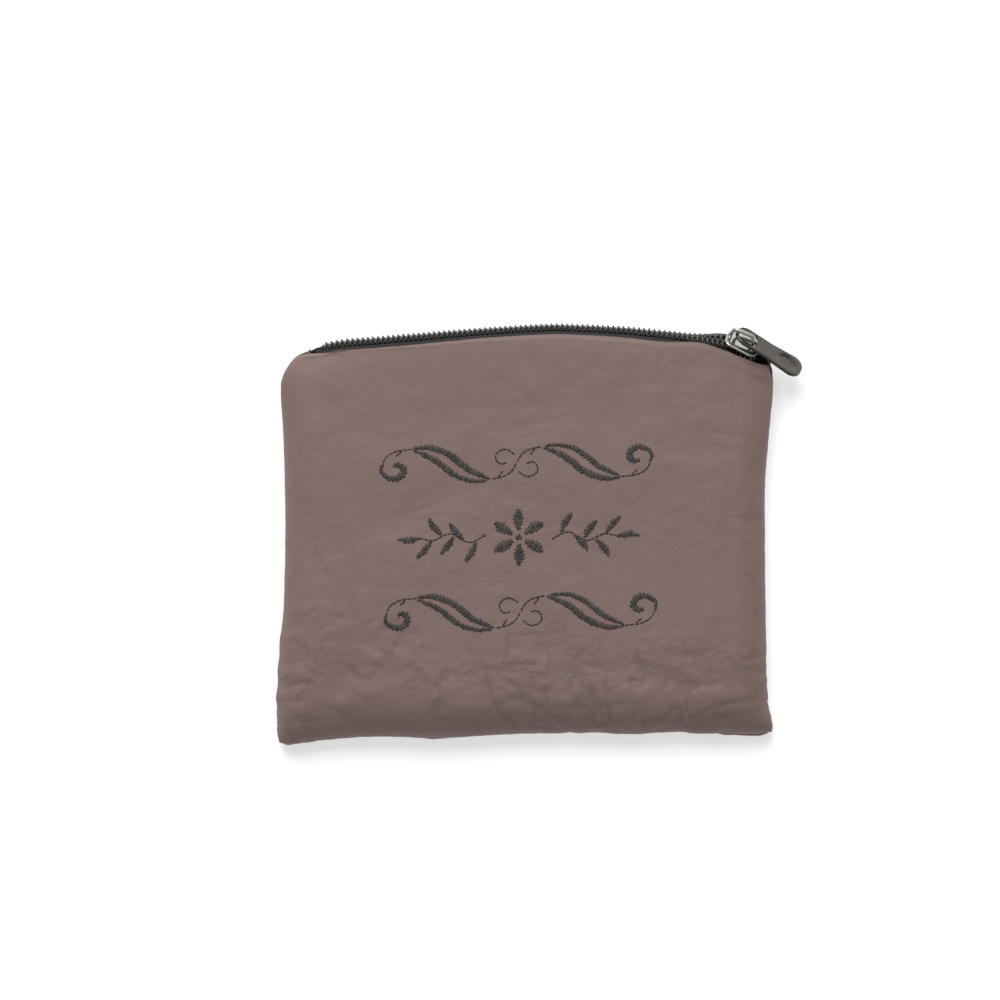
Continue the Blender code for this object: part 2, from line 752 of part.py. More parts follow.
def make_pull(collection):
    half = PULL_THICKNESS / 2
    pull = slab("pull_tab", pull_outlines(), -half, half, collection, 0.0002)
    pull.data.materials.append(finish_of("slider_metal"))
    pivot = Vector((PULL_PIVOT_ALONG, PULL_SIDEWAYS, pivot_height()))
    pull.matrix_world = slider_place() @ Matrix.Translation(pivot) @ Matrix.Rotation(PULL_SLOPE, 4, "Y")
    return pull


def main():
    for obj in list(bpy.data.objects):
        bpy.data.objects.remove(obj)
    purse = bpy.data.collections.new("coin_purse")
    helpers = bpy.data.collections.new("joined_shapes")
    for collection in (purse, helpers):
        bpy.context.scene.collection.children.link(collection)
    make_panel("front_panel", 1, purse)
    make_panel("back_panel", -1, purse)
    make_tape("tape_front", 1, purse)
    make_tape("tape_back", -1, purse)
    make_coil("coil_front", 1, purse)
    make_coil("coil_back", -1, purse)
    make_slider(purse, helpers)
    make_pull(purse)


main()
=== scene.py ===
# %% [markdown]
# # A zip coin purse
#
# The purse is two soft panels of crinkled faux leather. They are sewn together round the sides and
# the bottom, and a coil zip closes the mouth. It lies on its back, seen from straight above.
#
# The imported model is the frame: each surface below is worked out in the same place as its solid,
# so nothing is fitted afterwards.

# %% Load the frame
import math

import bpy
import numpy as np
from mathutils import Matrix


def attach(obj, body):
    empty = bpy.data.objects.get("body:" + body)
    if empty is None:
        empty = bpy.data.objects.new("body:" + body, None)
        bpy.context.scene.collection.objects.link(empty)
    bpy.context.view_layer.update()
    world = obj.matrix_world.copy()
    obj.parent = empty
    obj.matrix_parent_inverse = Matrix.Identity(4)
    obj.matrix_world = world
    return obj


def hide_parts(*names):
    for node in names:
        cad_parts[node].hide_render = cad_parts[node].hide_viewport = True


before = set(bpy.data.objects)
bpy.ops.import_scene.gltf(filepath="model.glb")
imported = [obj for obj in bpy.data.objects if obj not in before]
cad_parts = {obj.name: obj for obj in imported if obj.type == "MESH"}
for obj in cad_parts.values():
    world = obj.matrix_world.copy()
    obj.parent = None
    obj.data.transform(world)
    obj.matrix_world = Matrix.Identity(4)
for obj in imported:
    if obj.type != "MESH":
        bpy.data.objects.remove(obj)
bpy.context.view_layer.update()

# %% [markdown]
# ## The purse's sizes
#
# All lengths are in millimetres here, because that is how a leather worker thinks, and they become
# metres when a mesh is made. The tables follow the purse's outline as shares of its width and
# height, so that the outline keeps its character when a size changes.

# %% Sizes of the purse
WIDTH = 125.0
HEIGHT = 102.5
CROWN = 13.8
SKIN = 0.40
SIDE_SEAM = 4.8
BOTTOM_SEAM = 3.2
ZIP_HEIGHT = 6.9
MOUTH_HALF = 4.9
MOUTH_END_HALF = 0.25
DROOP = 1.0
TAPE = 0.45
FOLD = 0.42
HEM_ROWS = 2
FOLD_LIFT = 1.35
LEFT_EDGE = (
    (-0.499, -0.507), (-0.501, -0.386), (-0.498, -0.275), (-0.490, -0.152), (-0.488, 0.057),
    (-0.492, 0.255), (-0.496, 0.348), (-0.490, 0.392), (-0.470, 0.427), (-0.447, 0.447),
    (-0.428, 0.457),
)
RIGHT_EDGE = (
    (0.496, -0.480), (0.493, -0.445), (0.486, -0.411), (0.484, -0.280), (0.482, -0.100),
    (0.482, 0.100), (0.488, 0.218), (0.496, 0.328), (0.498, 0.378), (0.494, 0.420),
)
BOTTOM_EDGE = (
    (-0.499, -0.507), (-0.478, -0.512), (-0.442, -0.504), (-0.366, -0.497), (-0.306, -0.492),
    (-0.185, -0.497), (-0.034, -0.487), (0.118, -0.482), (0.209, -0.487), (0.314, -0.482),
    (0.451, -0.487), (0.496, -0.480),
)
ZIP_LINE = (
    (-0.436, 0.4414, 14.0), (-0.372, 0.4570, 14.0), (-0.306, 0.4639, 14.0),
    (-0.215, 0.4736, 14.0), (-0.094, 0.4859, 12.0), (0.027, 0.4951, 12.0),
    (0.088, 0.4956, 12.0), (0.209, 0.4882, 14.0), (0.320, 0.4731, 20.0),
    (0.3945, 0.4630, 40.0), (0.4310, 0.4447, 40.0), (0.4672, 0.4265, 40.0),
    (0.487, 0.4145, 36.0),
)
print("purse", WIDTH, "x", HEIGHT, "mm,", CROWN, "mm thick")

# %% [markdown]
# ## Small helpers
#
# A smooth curve through chosen points is all that the outlines need. This one is a cubic between
# each two points. Its slope at a point follows the points beside it, so no handles are set.

# %% Curves and vectors
def smooth_step(value):
    """0 below 0, 1 above 1, and the S curve 3v^2 - 2v^3 between."""
    value = np.clip(value, 0.0, 1.0)
    return value * value * (3.0 - 2.0 * value)


def unit(vectors):
    """Vectors divided by their own lengths."""
    return vectors / np.maximum(np.linalg.norm(vectors, axis=-1, keepdims=True), 1e-9)


def to_size(rows):
    """Shares of the purse's width and height made millimetres; a third column stays."""
    rows = np.array(rows, float)
    rows[:, 0] *= WIDTH
    rows[:, 1] *= HEIGHT
    return rows


def through(points, shares):
    """Points at shares of the length of a smooth line through the given points.

    Between b and c, with a before and d after, and t from 0 to 1, the line is
    b + t (c - a) / 2 + t^2 (a - 5b / 2 + 2c - d / 2) + t^3 (3b - a - 3c + d) / 2.
    """
    points = np.array(points, float)
    ends = np.vstack([2 * points[0] - points[1], points, 2 * points[-1] - points[-2]])
    t = np.linspace(0.0, 1.0, 25)[:-1, None]
    fine = [
        b + 0.5 * t * (c - a) + t**2 * (a - 2.5 * b + 2 * c - 0.5 * d)
        + t**3 * (1.5 * b - 0.5 * a - 1.5 * c + 0.5 * d)
        for a, b, c, d in zip(ends, ends[1:], ends[2:], ends[3:])
    ]
    fine = np.vstack([*fine, points[-1:]])
    steps = np.linalg.norm(np.diff(fine[:, :2], axis=0), axis=1)
    reached = np.concatenate([[0.0], np.cumsum(steps)]) / steps.sum()
    return np.stack([np.interp(shares, reached, column) for column in fine.T], axis=-1)


def length_of(points):
    """Length of a line of points, in millimetres."""
    return float(np.linalg.norm(np.diff(points, axis=0), axis=1).sum())


# %% Meshes from grids
def grid_faces(columns, rows, round_columns=False, round_rows=False):
    """Corner numbers of the quads between a grid's points, joined round where asked."""
    i = np.arange(columns if round_columns else columns - 1)
    j = np.arange(rows if round_rows else rows - 1)
    i, j = np.meshgrid(i, j, indexing="ij")
    right = (i + 1) % columns
    above = (j + 1) % rows
    corners = (i * rows + j, right * rows + j, right * rows + above, i * rows + above)
    return np.stack(corners, axis=-1).reshape(-1, 4)


def make_piece(name, points, faces, finish, body="purse", caps=()):
    """A mesh object at the origin, from points in millimetres and faces of corner numbers."""
    mesh = bpy.data.meshes.new(name)
    polygons = [list(map(int, face)) for face in faces] + [list(cap) for cap in caps]
    mesh.from_pydata((np.asarray(points).reshape(-1, 3) * 0.001).tolist(), [], polygons)
    mesh.materials.append(finish)
    mesh.shade_smooth()
    mesh.update()
    piece = bpy.data.objects.new(name, mesh)
    bpy.context.scene.collection.objects.link(piece)
    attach(piece, body)
    print(name, len(mesh.polygons), "faces")
    return piece


def lay_flat(piece, u, v, name="lie"):
    """Writes a UV map from one u and v a vertex, so that a pattern can follow the surface."""
    corner = np.empty(len(piece.data.loops), int)
    piece.data.loops.foreach_get("vertex_index", corner)
    layer = piece.data.uv_layers.new(name=name)
    both = np.stack([np.ravel(u)[corner], np.ravel(v)[corner]], axis=-1)
    layer.data.foreach_set("uv", both.astype(np.float32).ravel())


def paint(piece, name, values):
    """Stores one number a vertex, for a material to read."""
    layer = piece.data.attributes.new(name, "FLOAT", "POINT")
    layer.data.foreach_set("value", np.ravel(values).astype(np.float32))


# %% [markdown]
# ## The finishes
#
# A finish is a small network round one Principled shader. The helper below adds nodes and links in
# one line each, so that each finish reads as a recipe: its colour, then its roughness, then its
# relief.

# %% A small node kit
class Finish:
    """A material with its Principled shader, and short ways to add and join nodes."""

    def __init__(self, name, colour, roughness, metallic=0.0, specular=0.5):
        self.material = bpy.data.materials.new(name)
        self.material.use_nodes = True
        self.tree = self.material.node_tree
        self.shader = self.tree.nodes["Principled BSDF"]
        self.set(self.shader, {"Base Color": (*colour, 1.0), "Roughness": roughness})
        self.set(self.shader, {"Metallic": metallic, "Specular IOR Level": specular})

    def set(self, node, values):
        for socket, value in values.items():
            node.inputs[socket].default_value = value

    def add(self, kind, inputs=None, **options):
        node = self.tree.nodes.new("ShaderNode" + kind)
        for option, value in options.items():
            setattr(node, option, value)
        for socket, value in (inputs or {}).items():
            if isinstance(value, bpy.types.NodeSocket):
                self.tree.links.new(value, node.inputs[socket])
            else:
                node.inputs[socket].default_value = value
        return node

    def place(self):
        """Where a point lies on its own piece."""
        return self.add("TexCoord").outputs["Object"]

    def lie(self):
        """The two coordinates of the piece's own UV map."""
        uv = self.add("UVMap", uv_map="lie").outputs[0]
        return self.add("SeparateXYZ", {0: uv}).outputs[:2]

    def number(self, name):
        """A number that the mesh carries for each vertex."""
        return self.add("Attribute", attribute_name=name).outputs["Fac"]

    def noise(self, place, scale, detail, distortion=0.0):
        """A cloudy field from 0 to 1, with about as many clouds a metre as the scale says."""
        inputs = {"Vector": place, "Scale": scale, "Detail": detail, "Distortion": distortion}
        return self.add("TexNoise", inputs).outputs[0]

    def ranged(self, value, given=(0.0, 1.0), made=(0.0, 1.0)):
        """A value carried from one range to another."""
        inputs = {0: value, 1: given[0], 2: given[1], 3: made[0], 4: made[1]}
        return self.add("MapRange", inputs).outputs[0]

    def maths(self, operation, first, second=0.0):
        return self.add("Math", {0: first, 1: second}, operation=operation).outputs[0]

    def blend(self, share, first, second):
        """The first colour at share 0 and the second at share 1."""
        first, second = ((*c, 1.0) if isinstance(c, tuple) else c for c in (first, second))
        return self.add("Mix", {0: share, 6: first, 7: second}, data_type="RGBA").outputs[2]

    def to_shader(self, output, socket):
        self.tree.links.new(output, self.shader.inputs[socket])

    def relief(self, height, millimetres, strength=1.0):
        inputs = {"Height": height, "Distance": millimetres * 0.001, "Strength": strength}
        self.to_shader(self.add("Bump", inputs).outputs[0], "Normal")


# %% [markdown]
# ### Crinkled faux leather
#
# The photograph shows a matt taupe skin: a soft mottling, a grain too fine to count, and long
# creases. The creases are real relief in the mesh, and painted shade darkens them too. The grain
# and the mottling are cheaper here, as noise that reads the object's own coordinates. The rolled
# edge at the zip is darker and redder, partly by its own colour and partly by painted shade under
# the fold, and the mesh tells the shader where with the "edge" number.

# %% Leather
TAN = (0.2020, 0.1360, 0.1180)
MAUVE = (0.1900, 0.1245, 0.1150)
# painted shade colour for the creases
CREASE_SHADE_BROWN = (0.085, 0.055, 0.050)
# the turned edge's own darker, redder colour, darkened further as painted shade under the fold
EDGE_AND_SHADE_BROWN = (0.045, 0.026, 0.024)
MOTTLE = 150.0
SOFT_GRAIN = 420.0
PORES = 1500.0
FINE_GRAIN = 2600.0
WRINKLES = ((330.0, 4.5), (760.0, 2.2))


def leather_finish():
    """Mottled skin with painted shade in the creases, a turned edge darker and redder by its own colour
    and by painted shade, and a fine grain.

    Grain = pores / 2 + 0.4 fine + soft, and where the skin is creased, depth |wrinkle - 1/2| more
    for each size of wrinkle.
    """
    finish = Finish("crinkled_leatherette", (0.19, 0.135, 0.12), 0.6, specular=0.35)
    place = finish.place()
    cloudy = finish.ranged(finish.noise(place, MOTTLE, 6.0), given=(0.25, 0.75))
    colour = finish.blend(cloudy, MAUVE, TAN)
    # painted shade: the creases are darkened towards a dark brown, for the shade that falls in them
    crease = finish.maths("MULTIPLY", finish.number("crease"), 0.30)
    colour = finish.blend(crease, colour, CREASE_SHADE_BROWN)
    # the turned edge: its own colour, with painted shade under the fold and on the bend into it
    colour = finish.blend(finish.number("edge"), colour, EDGE_AND_SHADE_BROWN)
    finish.to_shader(colour, "Base Color")
    pores = finish.add("TexVoronoi", {"Vector": place, "Scale": PORES}, feature="F1")
    pores = finish.maths("MULTIPLY", pores.outputs["Distance"], 0.5)
    fine = finish.noise(place, FINE_GRAIN, 3.0)
    grain = finish.maths("ADD", pores, finish.maths("MULTIPLY", fine, 0.4))
    grain = finish.maths("ADD", grain, finish.noise(place, SOFT_GRAIN, 4.0))
    creased = finish.number("creased")
    for size, depth in WRINKLES:
        wrinkle = finish.noise(place, size, 2.0, 0.9)
        valley = finish.maths("ABSOLUTE", finish.maths("SUBTRACT", wrinkle, 0.5))
        valley = finish.maths("MULTIPLY", finish.maths("MULTIPLY", valley, depth), creased)
        grain = finish.maths("ADD", grain, valley)
    finish.relief(grain, 0.10, 0.60)
    finish.to_shader(finish.ranged(fine, made=(0.52, 0.68)), "Roughness")
    return finish.material


LEATHER = leather_finish()
print("finish", LEATHER.name)

# %% [markdown]
# ### Zip tape, coil, metal and thread
#
# The tape is a dark herringbone weave, so its ribs follow the tape's own UV map: two sets of
# slanting waves that meet in a row of chevrons. The coil is satin nylon, the slider and pull are
# dark nickel, and the embroidery thread is a dark, slightly glossy rayon with a visible twist.

# %% Tape, coil, metal and thread
CHEVRON = 0.85
RIB_PITCH = 0.42
YARN_PITCH = 0.36
TWIST_PITCH = 0.42


def tape_finish():
    """Near-black ribs: sine of (along + zigzag across), with the yarns' sine across on top; the low
    parts of the weave are painted darker as shade.
    """
    finish = Finish("zip_tape_weave", (0.030, 0.028, 0.028), 0.8, specular=0.25)
    along, across = finish.lie()
    slanted = finish.maths("ADD", along, finish.maths("PINGPONG", across, CHEVRON))
    ribs = finish.maths("SINE", finish.maths("MULTIPLY", slanted, 2 * math.pi / RIB_PITCH))
    height = finish.maths("MULTIPLY_ADD", ribs, 0.5)
    yarns = finish.maths("SINE", finish.maths("MULTIPLY", across, 2 * math.pi / YARN_PITCH))
    height = finish.maths("ADD", height, finish.maths("MULTIPLY", yarns, 0.3))
    share = finish.ranged(height, given=(-0.8, 0.8))
    # painted shade: the weave is darker where its relief is low
    finish.to_shader(finish.blend(share, (0.012, 0.011, 0.011), (0.031, 0.029, 0.029)), "Base Color")
    finish.relief(height, 0.07, 0.8)
    return finish.material


def coil_finish():
    """Dark nylon with a soft gloss and a faint uneven drawing."""
    finish = Finish("zip_coil_nylon", (0.050, 0.047, 0.046), 0.38)
    drawn = finish.noise(finish.place(), 900.0, 2.0)
    finish.to_shader(finish.ranged(drawn, made=(0.30, 0.48)), "Roughness")
    finish.to_shader(finish.blend(drawn, (0.040, 0.038, 0.037), (0.064, 0.060, 0.058)), "Base Color")
    return finish.material


def metal_finish(name, dark, light, roughness):
    """Plated metal: cloudy between two greys, with fine scratches in its gloss."""
    finish = Finish(name, light, roughness, metallic=1.0)
    place = finish.place()
    worn = finish.noise(place, 500.0, 6.0)
    finish.to_shader(finish.blend(worn, dark, light), "Base Color")
    rub = finish.noise(place, 3500.0, 4.0)
    gloss = finish.ranged(rub, made=(roughness - 0.07, roughness + 0.09))
    finish.to_shader(gloss, "Roughness")
    finish.relief(finish.maths("ADD", rub, worn), 0.006, 0.5)
    return finish.material


def thread_finish():
    """Twisted thread: sine of (along / pitch + turn round), and painted shade where it dives in."""
    finish = Finish("embroidery_thread", (0.050, 0.047, 0.043), 0.48, specular=0.35)
    along, round_it = finish.lie()
    twist = finish.maths("ADD", finish.maths("MULTIPLY", along, 1 / TWIST_PITCH), round_it)
    ply = finish.maths("SINE", finish.maths("MULTIPLY", twist, 2 * math.pi))
    colour = finish.blend(finish.number("tone"), (0.034, 0.032, 0.029), (0.074, 0.071, 0.064))
    colour = finish.blend(finish.number("fine"), colour, (0.030, 0.020, 0.018))
    # painted shade: the thread is darkened where it dives into the leather
    colour = finish.blend(finish.number("dive_shade"), colour, (0.010, 0.009, 0.008))
    finish.to_shader(colour, "Base Color")
    finish.relief(ply, 0.035, 0.7)
    return finish.material


TAPE_WEAVE = tape_finish()
NYLON = coil_finish()
SLIDER_NICKEL = metal_finish("slider_nickel", (0.40, 0.385, 0.365), (0.60, 0.585, 0.56), 0.20)
PULL_NICKEL = metal_finish("pull_dark_nickel", (0.080, 0.073, 0.068), (0.125, 0.115, 0.108), 0.30)
THREAD = thread_finish()
print("finishes", TAPE_WEAVE.name, NYLON.name, SLIDER_NICKEL.name, PULL_NICKEL.name, THREAD.name)

# %% [markdown]
# ## The zip's line
#
# Everything at the mouth follows one line: the panels' edges, the tapes, the coils and the slider.
# At each point it has three directions: along the zip, out of the zip's face, and to the front
# panel. The face leans up towards the eye by the roll in the table.

# %% The zip's line and its directions
ZIP_ROWS = to_size(ZIP_LINE)
ZIP_LENGTH = length_of(through(ZIP_ROWS, np.linspace(0, 1, 400))[:, :2])
LEFT_EASE = 8.5
RIGHT_EASE = 4.5
SLIDER_SHARE = 0.930
SLIDER_LENGTH = 8.7
DROOP_END = 0.88
DROOP_FADE = 0.16
COIL_SPREAD = 1.35
END_LIFT = 0.25
CLOSING_START = 0.76
CLOSING_FADE = 0.10
# beside the slider, for the front panel (1) and the back one (-1): inward and upward
CLOSE_IN = {1: (0.9, 0.85), -1: (1.3, -1.0)}


def zip_frame(shares):
    """Middle of the zip with its three directions, from the line's slope and its roll."""
    shares = np.clip(np.asarray(shares, float), 0, 1)
    here = through(ZIP_ROWS, shares)
    ahead = through(ZIP_ROWS, np.clip(shares + 0.002, 0, 1))
    behind = through(ZIP_ROWS, np.clip(shares - 0.002, 0, 1))
    along = ahead - behind
    along[:, 2] = 0
    along = unit(along)
    away = np.stack([-along[:, 1], along[:, 0], 0 * shares], axis=-1)
    up = np.zeros_like(along)
    up[:, 2] = 1
    roll = np.radians(here[:, 2:3])
    out = away * np.cos(roll) + up * np.sin(roll)
    to_front = up * np.cos(roll) - away * np.sin(roll)
    middle = np.column_stack([here[:, :2], np.full(len(here), ZIP_HEIGHT)])
    return middle, along, out, to_front


def mouth_half(shares):
    """Half the mouth's height: sqrt(1 - (1 - u)^2), a quarter circle, at both ends of the zip."""
    shares = np.asarray(shares, float)
    left = np.clip(shares * ZIP_LENGTH / LEFT_EASE, 0, 1)
    right = np.clip((1 - shares) * ZIP_LENGTH / RIGHT_EASE, 0, 1)
    opened = np.sqrt(1 - (1 - left) ** 2) * np.sqrt(1 - (1 - right) ** 2)
    return MOUTH_END_HALF + (MOUTH_HALF - MOUTH_END_HALF) * opened


def droop(shares):
    """How far the tapes slope back from the coils at the leather: none at the slider."""
    fade = smooth_step((DROOP_END - np.asarray(shares, float)) / DROOP_FADE)
    return DROOP * fade * mouth_half(shares) / MOUTH_HALF


def spread(shares):
    """How far the coils move apart in the slider and past it."""
    past = (np.asarray(shares, float) - SLIDER_SHARE) * ZIP_LENGTH + 0.12 * SLIDER_LENGTH
    return COIL_SPREAD * smooth_step(past / (0.37 * SLIDER_LENGTH))


def wobble(shares, seed, size):
    """A smooth uneven line: a few sines of unlike lengths, to keep an edge from being perfect."""
    random = np.random.default_rng(seed)
    total = np.zeros_like(np.asarray(shares, float))
    for turns in (3.0, 5.3, 8.9, 14.7, 23.1):
        total += np.sin(2 * math.pi * (turns * np.asarray(shares) + random.random())) / math.sqrt(turns)
    return size * total / 1.6


def beside_slider(shares, side):
    """How far the leather closes in beside the slider, and how far it rises or sinks there."""
    near = smooth_step((np.asarray(shares, float) - CLOSING_START) / CLOSING_FADE)
    near = near * mouth_half(shares) / MOUTH_HALF
    inward, upward = CLOSE_IN[side]
    return inward * near, upward * near


def mouth_edge(shares, side):
    """A panel's fold line at the mouth: side 1 is the front panel and -1 the back one."""
    middle, _, out, to_front = zip_frame(shares)
    opened = mouth_half(shares) / MOUTH_HALF
    inward, upward = beside_slider(shares, side)
    half = mouth_half(shares) - inward + (FOLD + wobble(shares, 5 + side, 0.12)) * opened
    lift = (FOLD_LIFT - droop(shares) + upward) * (END_LIFT + (1 - END_LIFT) * opened)
    return middle + side * to_front * half[:, None] + out * lift[:, None]


print("zip", round(ZIP_LENGTH, 1), "mm long")

# %% [markdown]
# ## The panels' form
#
# A panel is one grid of points between four edges: two side seams, the bottom seam and the mouth.
# The inside of the grid is blended from the edges, then lifted to the crown in front, or let down
# flat on the table behind. Near a seam the skin tucks under itself, swells out to the outline and
# climbs a quarter circle, as sewn and turned leather does.

# %% Grid lines that follow the rolled edges
SIDE_ROLL = 8.0
BOTTOM_ROLL = 12.0
MOUTH_ROLL = 3.6
TUCK_IN = 0.9
TUCK_DROP = 0.9
EDGE_FIT = 0.06
TUCK_ROWS = 3
MOUTH_ROWS = 7
SIDE_STEPS = 17
MIDDLE_STEPS = 172
BOTTOM_STEPS = 24
RISE_STEPS = 138


def rolled(width, length, steps, tucked):
    """Lines from a seam: inset = width(1 - cos a) and rise = sin a, after the tucked ones."""
    tuck = np.linspace(1, 0, tucked + 1)[:-1]
    angle = np.linspace(0, math.pi / 2, steps + 1)
    inset = np.concatenate([TUCK_IN * tuck**1.6, width * (1 - np.cos(angle))]) / length
    rise = np.concatenate([0 * tuck, np.sin(angle)])
    return inset, rise, np.concatenate([tuck, 0 * angle])


def panel_lines(fine):
    """Columns and rows of a panel's grid: share of the size, rise and tuck of each."""
    side, side_rise, side_tuck = rolled(SIDE_ROLL, WIDTH, round(SIDE_STEPS * fine), TUCK_ROWS)
    middle = np.linspace(side[-1], 1 - side[-1], round(MIDDLE_STEPS * fine) + 1)[1:-1]
    across = np.concatenate([side, middle, (1 - side)[::-1]])
    across_rise = np.concatenate([side_rise, np.ones(len(middle)), side_rise[::-1]])
    across_tuck = np.concatenate([side_tuck, np.zeros(len(middle)), side_tuck[::-1]])
    low, low_rise, low_tuck = rolled(BOTTOM_ROLL, HEIGHT, round(BOTTOM_STEPS * fine), TUCK_ROWS)
    high = np.linspace(1 - MOUTH_ROLL / HEIGHT, 1, MOUTH_ROWS + 1)
    rest = np.linspace(low[-1], high[0], round(RISE_STEPS * fine) + 1)[1:-1]
    upward = np.concatenate([low, rest, high])
    upward_rise = np.concatenate([low_rise, np.ones(len(rest) + len(high))])
    upward_tuck = np.concatenate([low_tuck, np.zeros(len(rest) + len(high))])
    return (across, across_rise, across_tuck), (upward, upward_rise, upward_tuck)


# %% The four edges and the blend between them
def seam_height(upward):
    """The side seams climb from the bottom corners to the zip's level."""
    lower = BOTTOM_SEAM + (SIDE_SEAM - BOTTOM_SEAM) * smooth_step(upward / 0.35)
    return lower + (ZIP_HEIGHT - SIDE_SEAM) * smooth_step((upward - 0.7) / 0.3)


def base_surface(across, upward, side):
    """Lines from side to side, plus (1 - t) times their miss below and t times their miss above."""
    near = smooth_step((upward - 1 + EDGE_FIT) / EDGE_FIT)[:, None]
    high = mouth_edge(across, side)
    left = np.column_stack([through(to_size(LEFT_EDGE), upward), seam_height(upward)])
    right = np.column_stack([through(to_size(RIGHT_EDGE), upward), seam_height(upward)])
    low = np.column_stack([through(to_size(BOTTOM_EDGE), across), np.full(len(across), BOTTOM_SEAM)])
    left = left + (mouth_edge([0.0], side)[0] - left[-1]) * near
    right = right + (mouth_edge([1.0], side)[0] - right[-1]) * near
    s = across[:, None, None]
    t = upward[None, :, None]
    reach = np.concatenate([t, t, near[None, :, :]], axis=2)
    sides = left[None] * (1 - s) + right[None] * s
    bend_low = low[:, None] - (left[0] * (1 - s) + right[0] * s)
    bend_high = high[:, None] - (left[-1] * (1 - s) + right[-1] * s)
    return sides + bend_low * (1 - t) + bend_high * reach


def met(one, other):
    """Two rises met at a corner: ab / (a + b - ab), each alone where the other is whole."""
    return one * other / np.maximum(one + other - one * other, 1e-9)


# %% [markdown]
# ## Creases
#
# Washed faux leather keeps thin creases that run on for centimetres and branch. The zero lines of
# a smooth random field do just that, so a crease's depth is a narrow bell of the field's distance
# from zero. A second field fades them in patches, and there are more towards the bottom. Between
# them the skin is crumpled by |field|, which has sharp valleys and slopes between. The creases
# that stand out in the photograph are drawn as lines with a depth.

# %% Random fields
LATTICE = 256


def lattice_noise(x, y, size, seed, turn):
    """Random values on a turned lattice of cells, blended between with the S curve."""
    random = np.random.default_rng(seed)
    lattice = random.uniform(-1, 1, (LATTICE, LATTICE))
    u = (x * math.cos(turn) + y * math.sin(turn)) / size + 100.0
    v = (y * math.cos(turn) - x * math.sin(turn)) / size + 100.0
    i = np.floor(u).astype(int)
    j = np.floor(v).astype(int)
    a = smooth_step(u - i)
    b = smooth_step(v - j)

    def corner(right, up):
        return lattice[(i + right) % LATTICE, (j + up) % LATTICE]

    low = corner(0, 0) * (1 - a) + corner(1, 0) * a
    high = corner(0, 1) * (1 - a) + corner(1, 1) * a
    return low * (1 - b) + high * b


def smooth_noise(x, y, size, seed):
    """Two lattices turned against each other, so that no line follows a cell; about -1 to 1."""
    turn = 1.3 * seed
    one = lattice_noise(x, y, size, seed, turn)
    return one + lattice_noise(x, y, size, seed + 500, turn + 0.8)


def layered_noise(x, y, size, seed, layers=3):
    """A sum of ever finer smooth fields, each half as strong as the one before."""
    total = np.zeros_like(x)
    for layer in range(layers):
        total += smooth_noise(x, y, size / 2**layer, seed + layer) / 2**layer
    return total


def crease_lines(x, y, size, width, seed):
    """1 on the zero lines of a bent random field, falling to 0 within the width."""
    bend_x = x + 0.35 * size * layered_noise(x, y, size * 0.8, seed + 50)
    bend_y = y + 0.35 * size * layered_noise(x, y, size * 0.8, seed + 70)
    field = layered_noise(bend_x, bend_y, size, seed, 2)
    slope = np.hypot(*np.gradient(field)) / np.maximum(np.hypot(*np.gradient(x)), 1e-6)
    return np.exp(-((field / (np.maximum(slope, 0.25 / size) * width)) ** 2))


# %% Creases drawn as lines: points in millimetres, depth and width
DRAWN_CREASES = (
    (((-14.3, 10.4), (-9.2, 11.7), (0.1, 10.4)), 0.07, 0.5),
    (((-32.0, 4.6), (-26.0, 6.6), (-21.9, 8.4)), 0.08, 0.6),
    (((-30.5, 1.5), (-25.5, 4.0), (-19.0, 5.0)), 0.05, 0.6),
    (((40.3, 31.6), (42.8, 31.4), (45.1, 31.8)), 0.08, 0.5),
    (((-2.9, -7.3), (-1.0, -10.0), (0.9, -12.6)), 0.07, 0.5),
    (((-56.0, 0.8), (-53.0, -4.0), (-49.6, -10.5)), 0.07, 0.6),
    (((23.5, 18.4), (25.5, 17.0), (28.0, 16.6)), 0.06, 0.5),
    (((-38.0, 24.5), (-33.0, 24.0), (-28.5, 25.0)), 0.05, 0.6),
    (((-57.5, -27.2), (-55.3, -29.4), (-55.0, -33.0)), 0.09, 0.6),
    (((-50.5, -33.0), (-45.0, -33.3), (-41.0, -36.2), (-34.0, -33.6)), 0.13, 0.8),
    (((-45.5, -37.5), (-40.0, -41.5), (-33.5, -38.5)), 0.12, 0.8),
    (((-56.5, -45.5), (-50.0, -43.5), (-46.0, -45.5), (-40.0, -48.0)), 0.10, 0.7),
    (((-16.0, -38.0), (-9.0, -33.8), (2.0, -36.0), (9.0, -33.5)), 0.12, 0.8),
    (((-10.0, -44.5), (-3.0, -41.2), (4.0, -43.6), (9.5, -40.8)), 0.13, 0.8),
    (((9.0, -33.5), (13.5, -37.0), (19.0, -43.0)), 0.13, 0.7),
    (((10.0, -31.0), (17.0, -33.5), (23.0, -31.5)), 0.10, 0.7),
    (((33.0, -28.0), (38.0, -30.5), (46.0, -29.0)), 0.10, 0.7),
    (((34.0, -36.0), (40.0, -37.5), (45.0, -35.5)), 0.09, 0.7),
    (((42.0, -46.5), (48.5, -42.8), (56.5, -41.5)), 0.13, 0.8),
    (((44.0, -44.5), (50.0, -46.0), (57.0, -44.5)), 0.10, 0.7),
    (((53.5, -3.5), (56.0, -2.4), (58.5, -1.8)), 0.07, 0.5),
    (((-52.0, -18.5), (-46.0, -21.0), (-42.5, -19.5)), 0.06, 0.6),
)


def drawn_creases(x, y):
    """Depth of the drawn creases: a bell of the distance to each line, faded at its ends."""
    depth = np.zeros_like(x)
    for points, deep, width in DRAWN_CREASES:
        line = through(points, np.linspace(0, 1, 26))
        fade = np.sin(np.linspace(0.12, math.pi - 0.12, 26))
        away = np.hypot(x[..., None] - line[:, 0], y[..., None] - line[:, 1])
        depth = np.maximum(depth, (deep * fade * np.exp(-((away / width) ** 2))).max(axis=-1))
    return depth


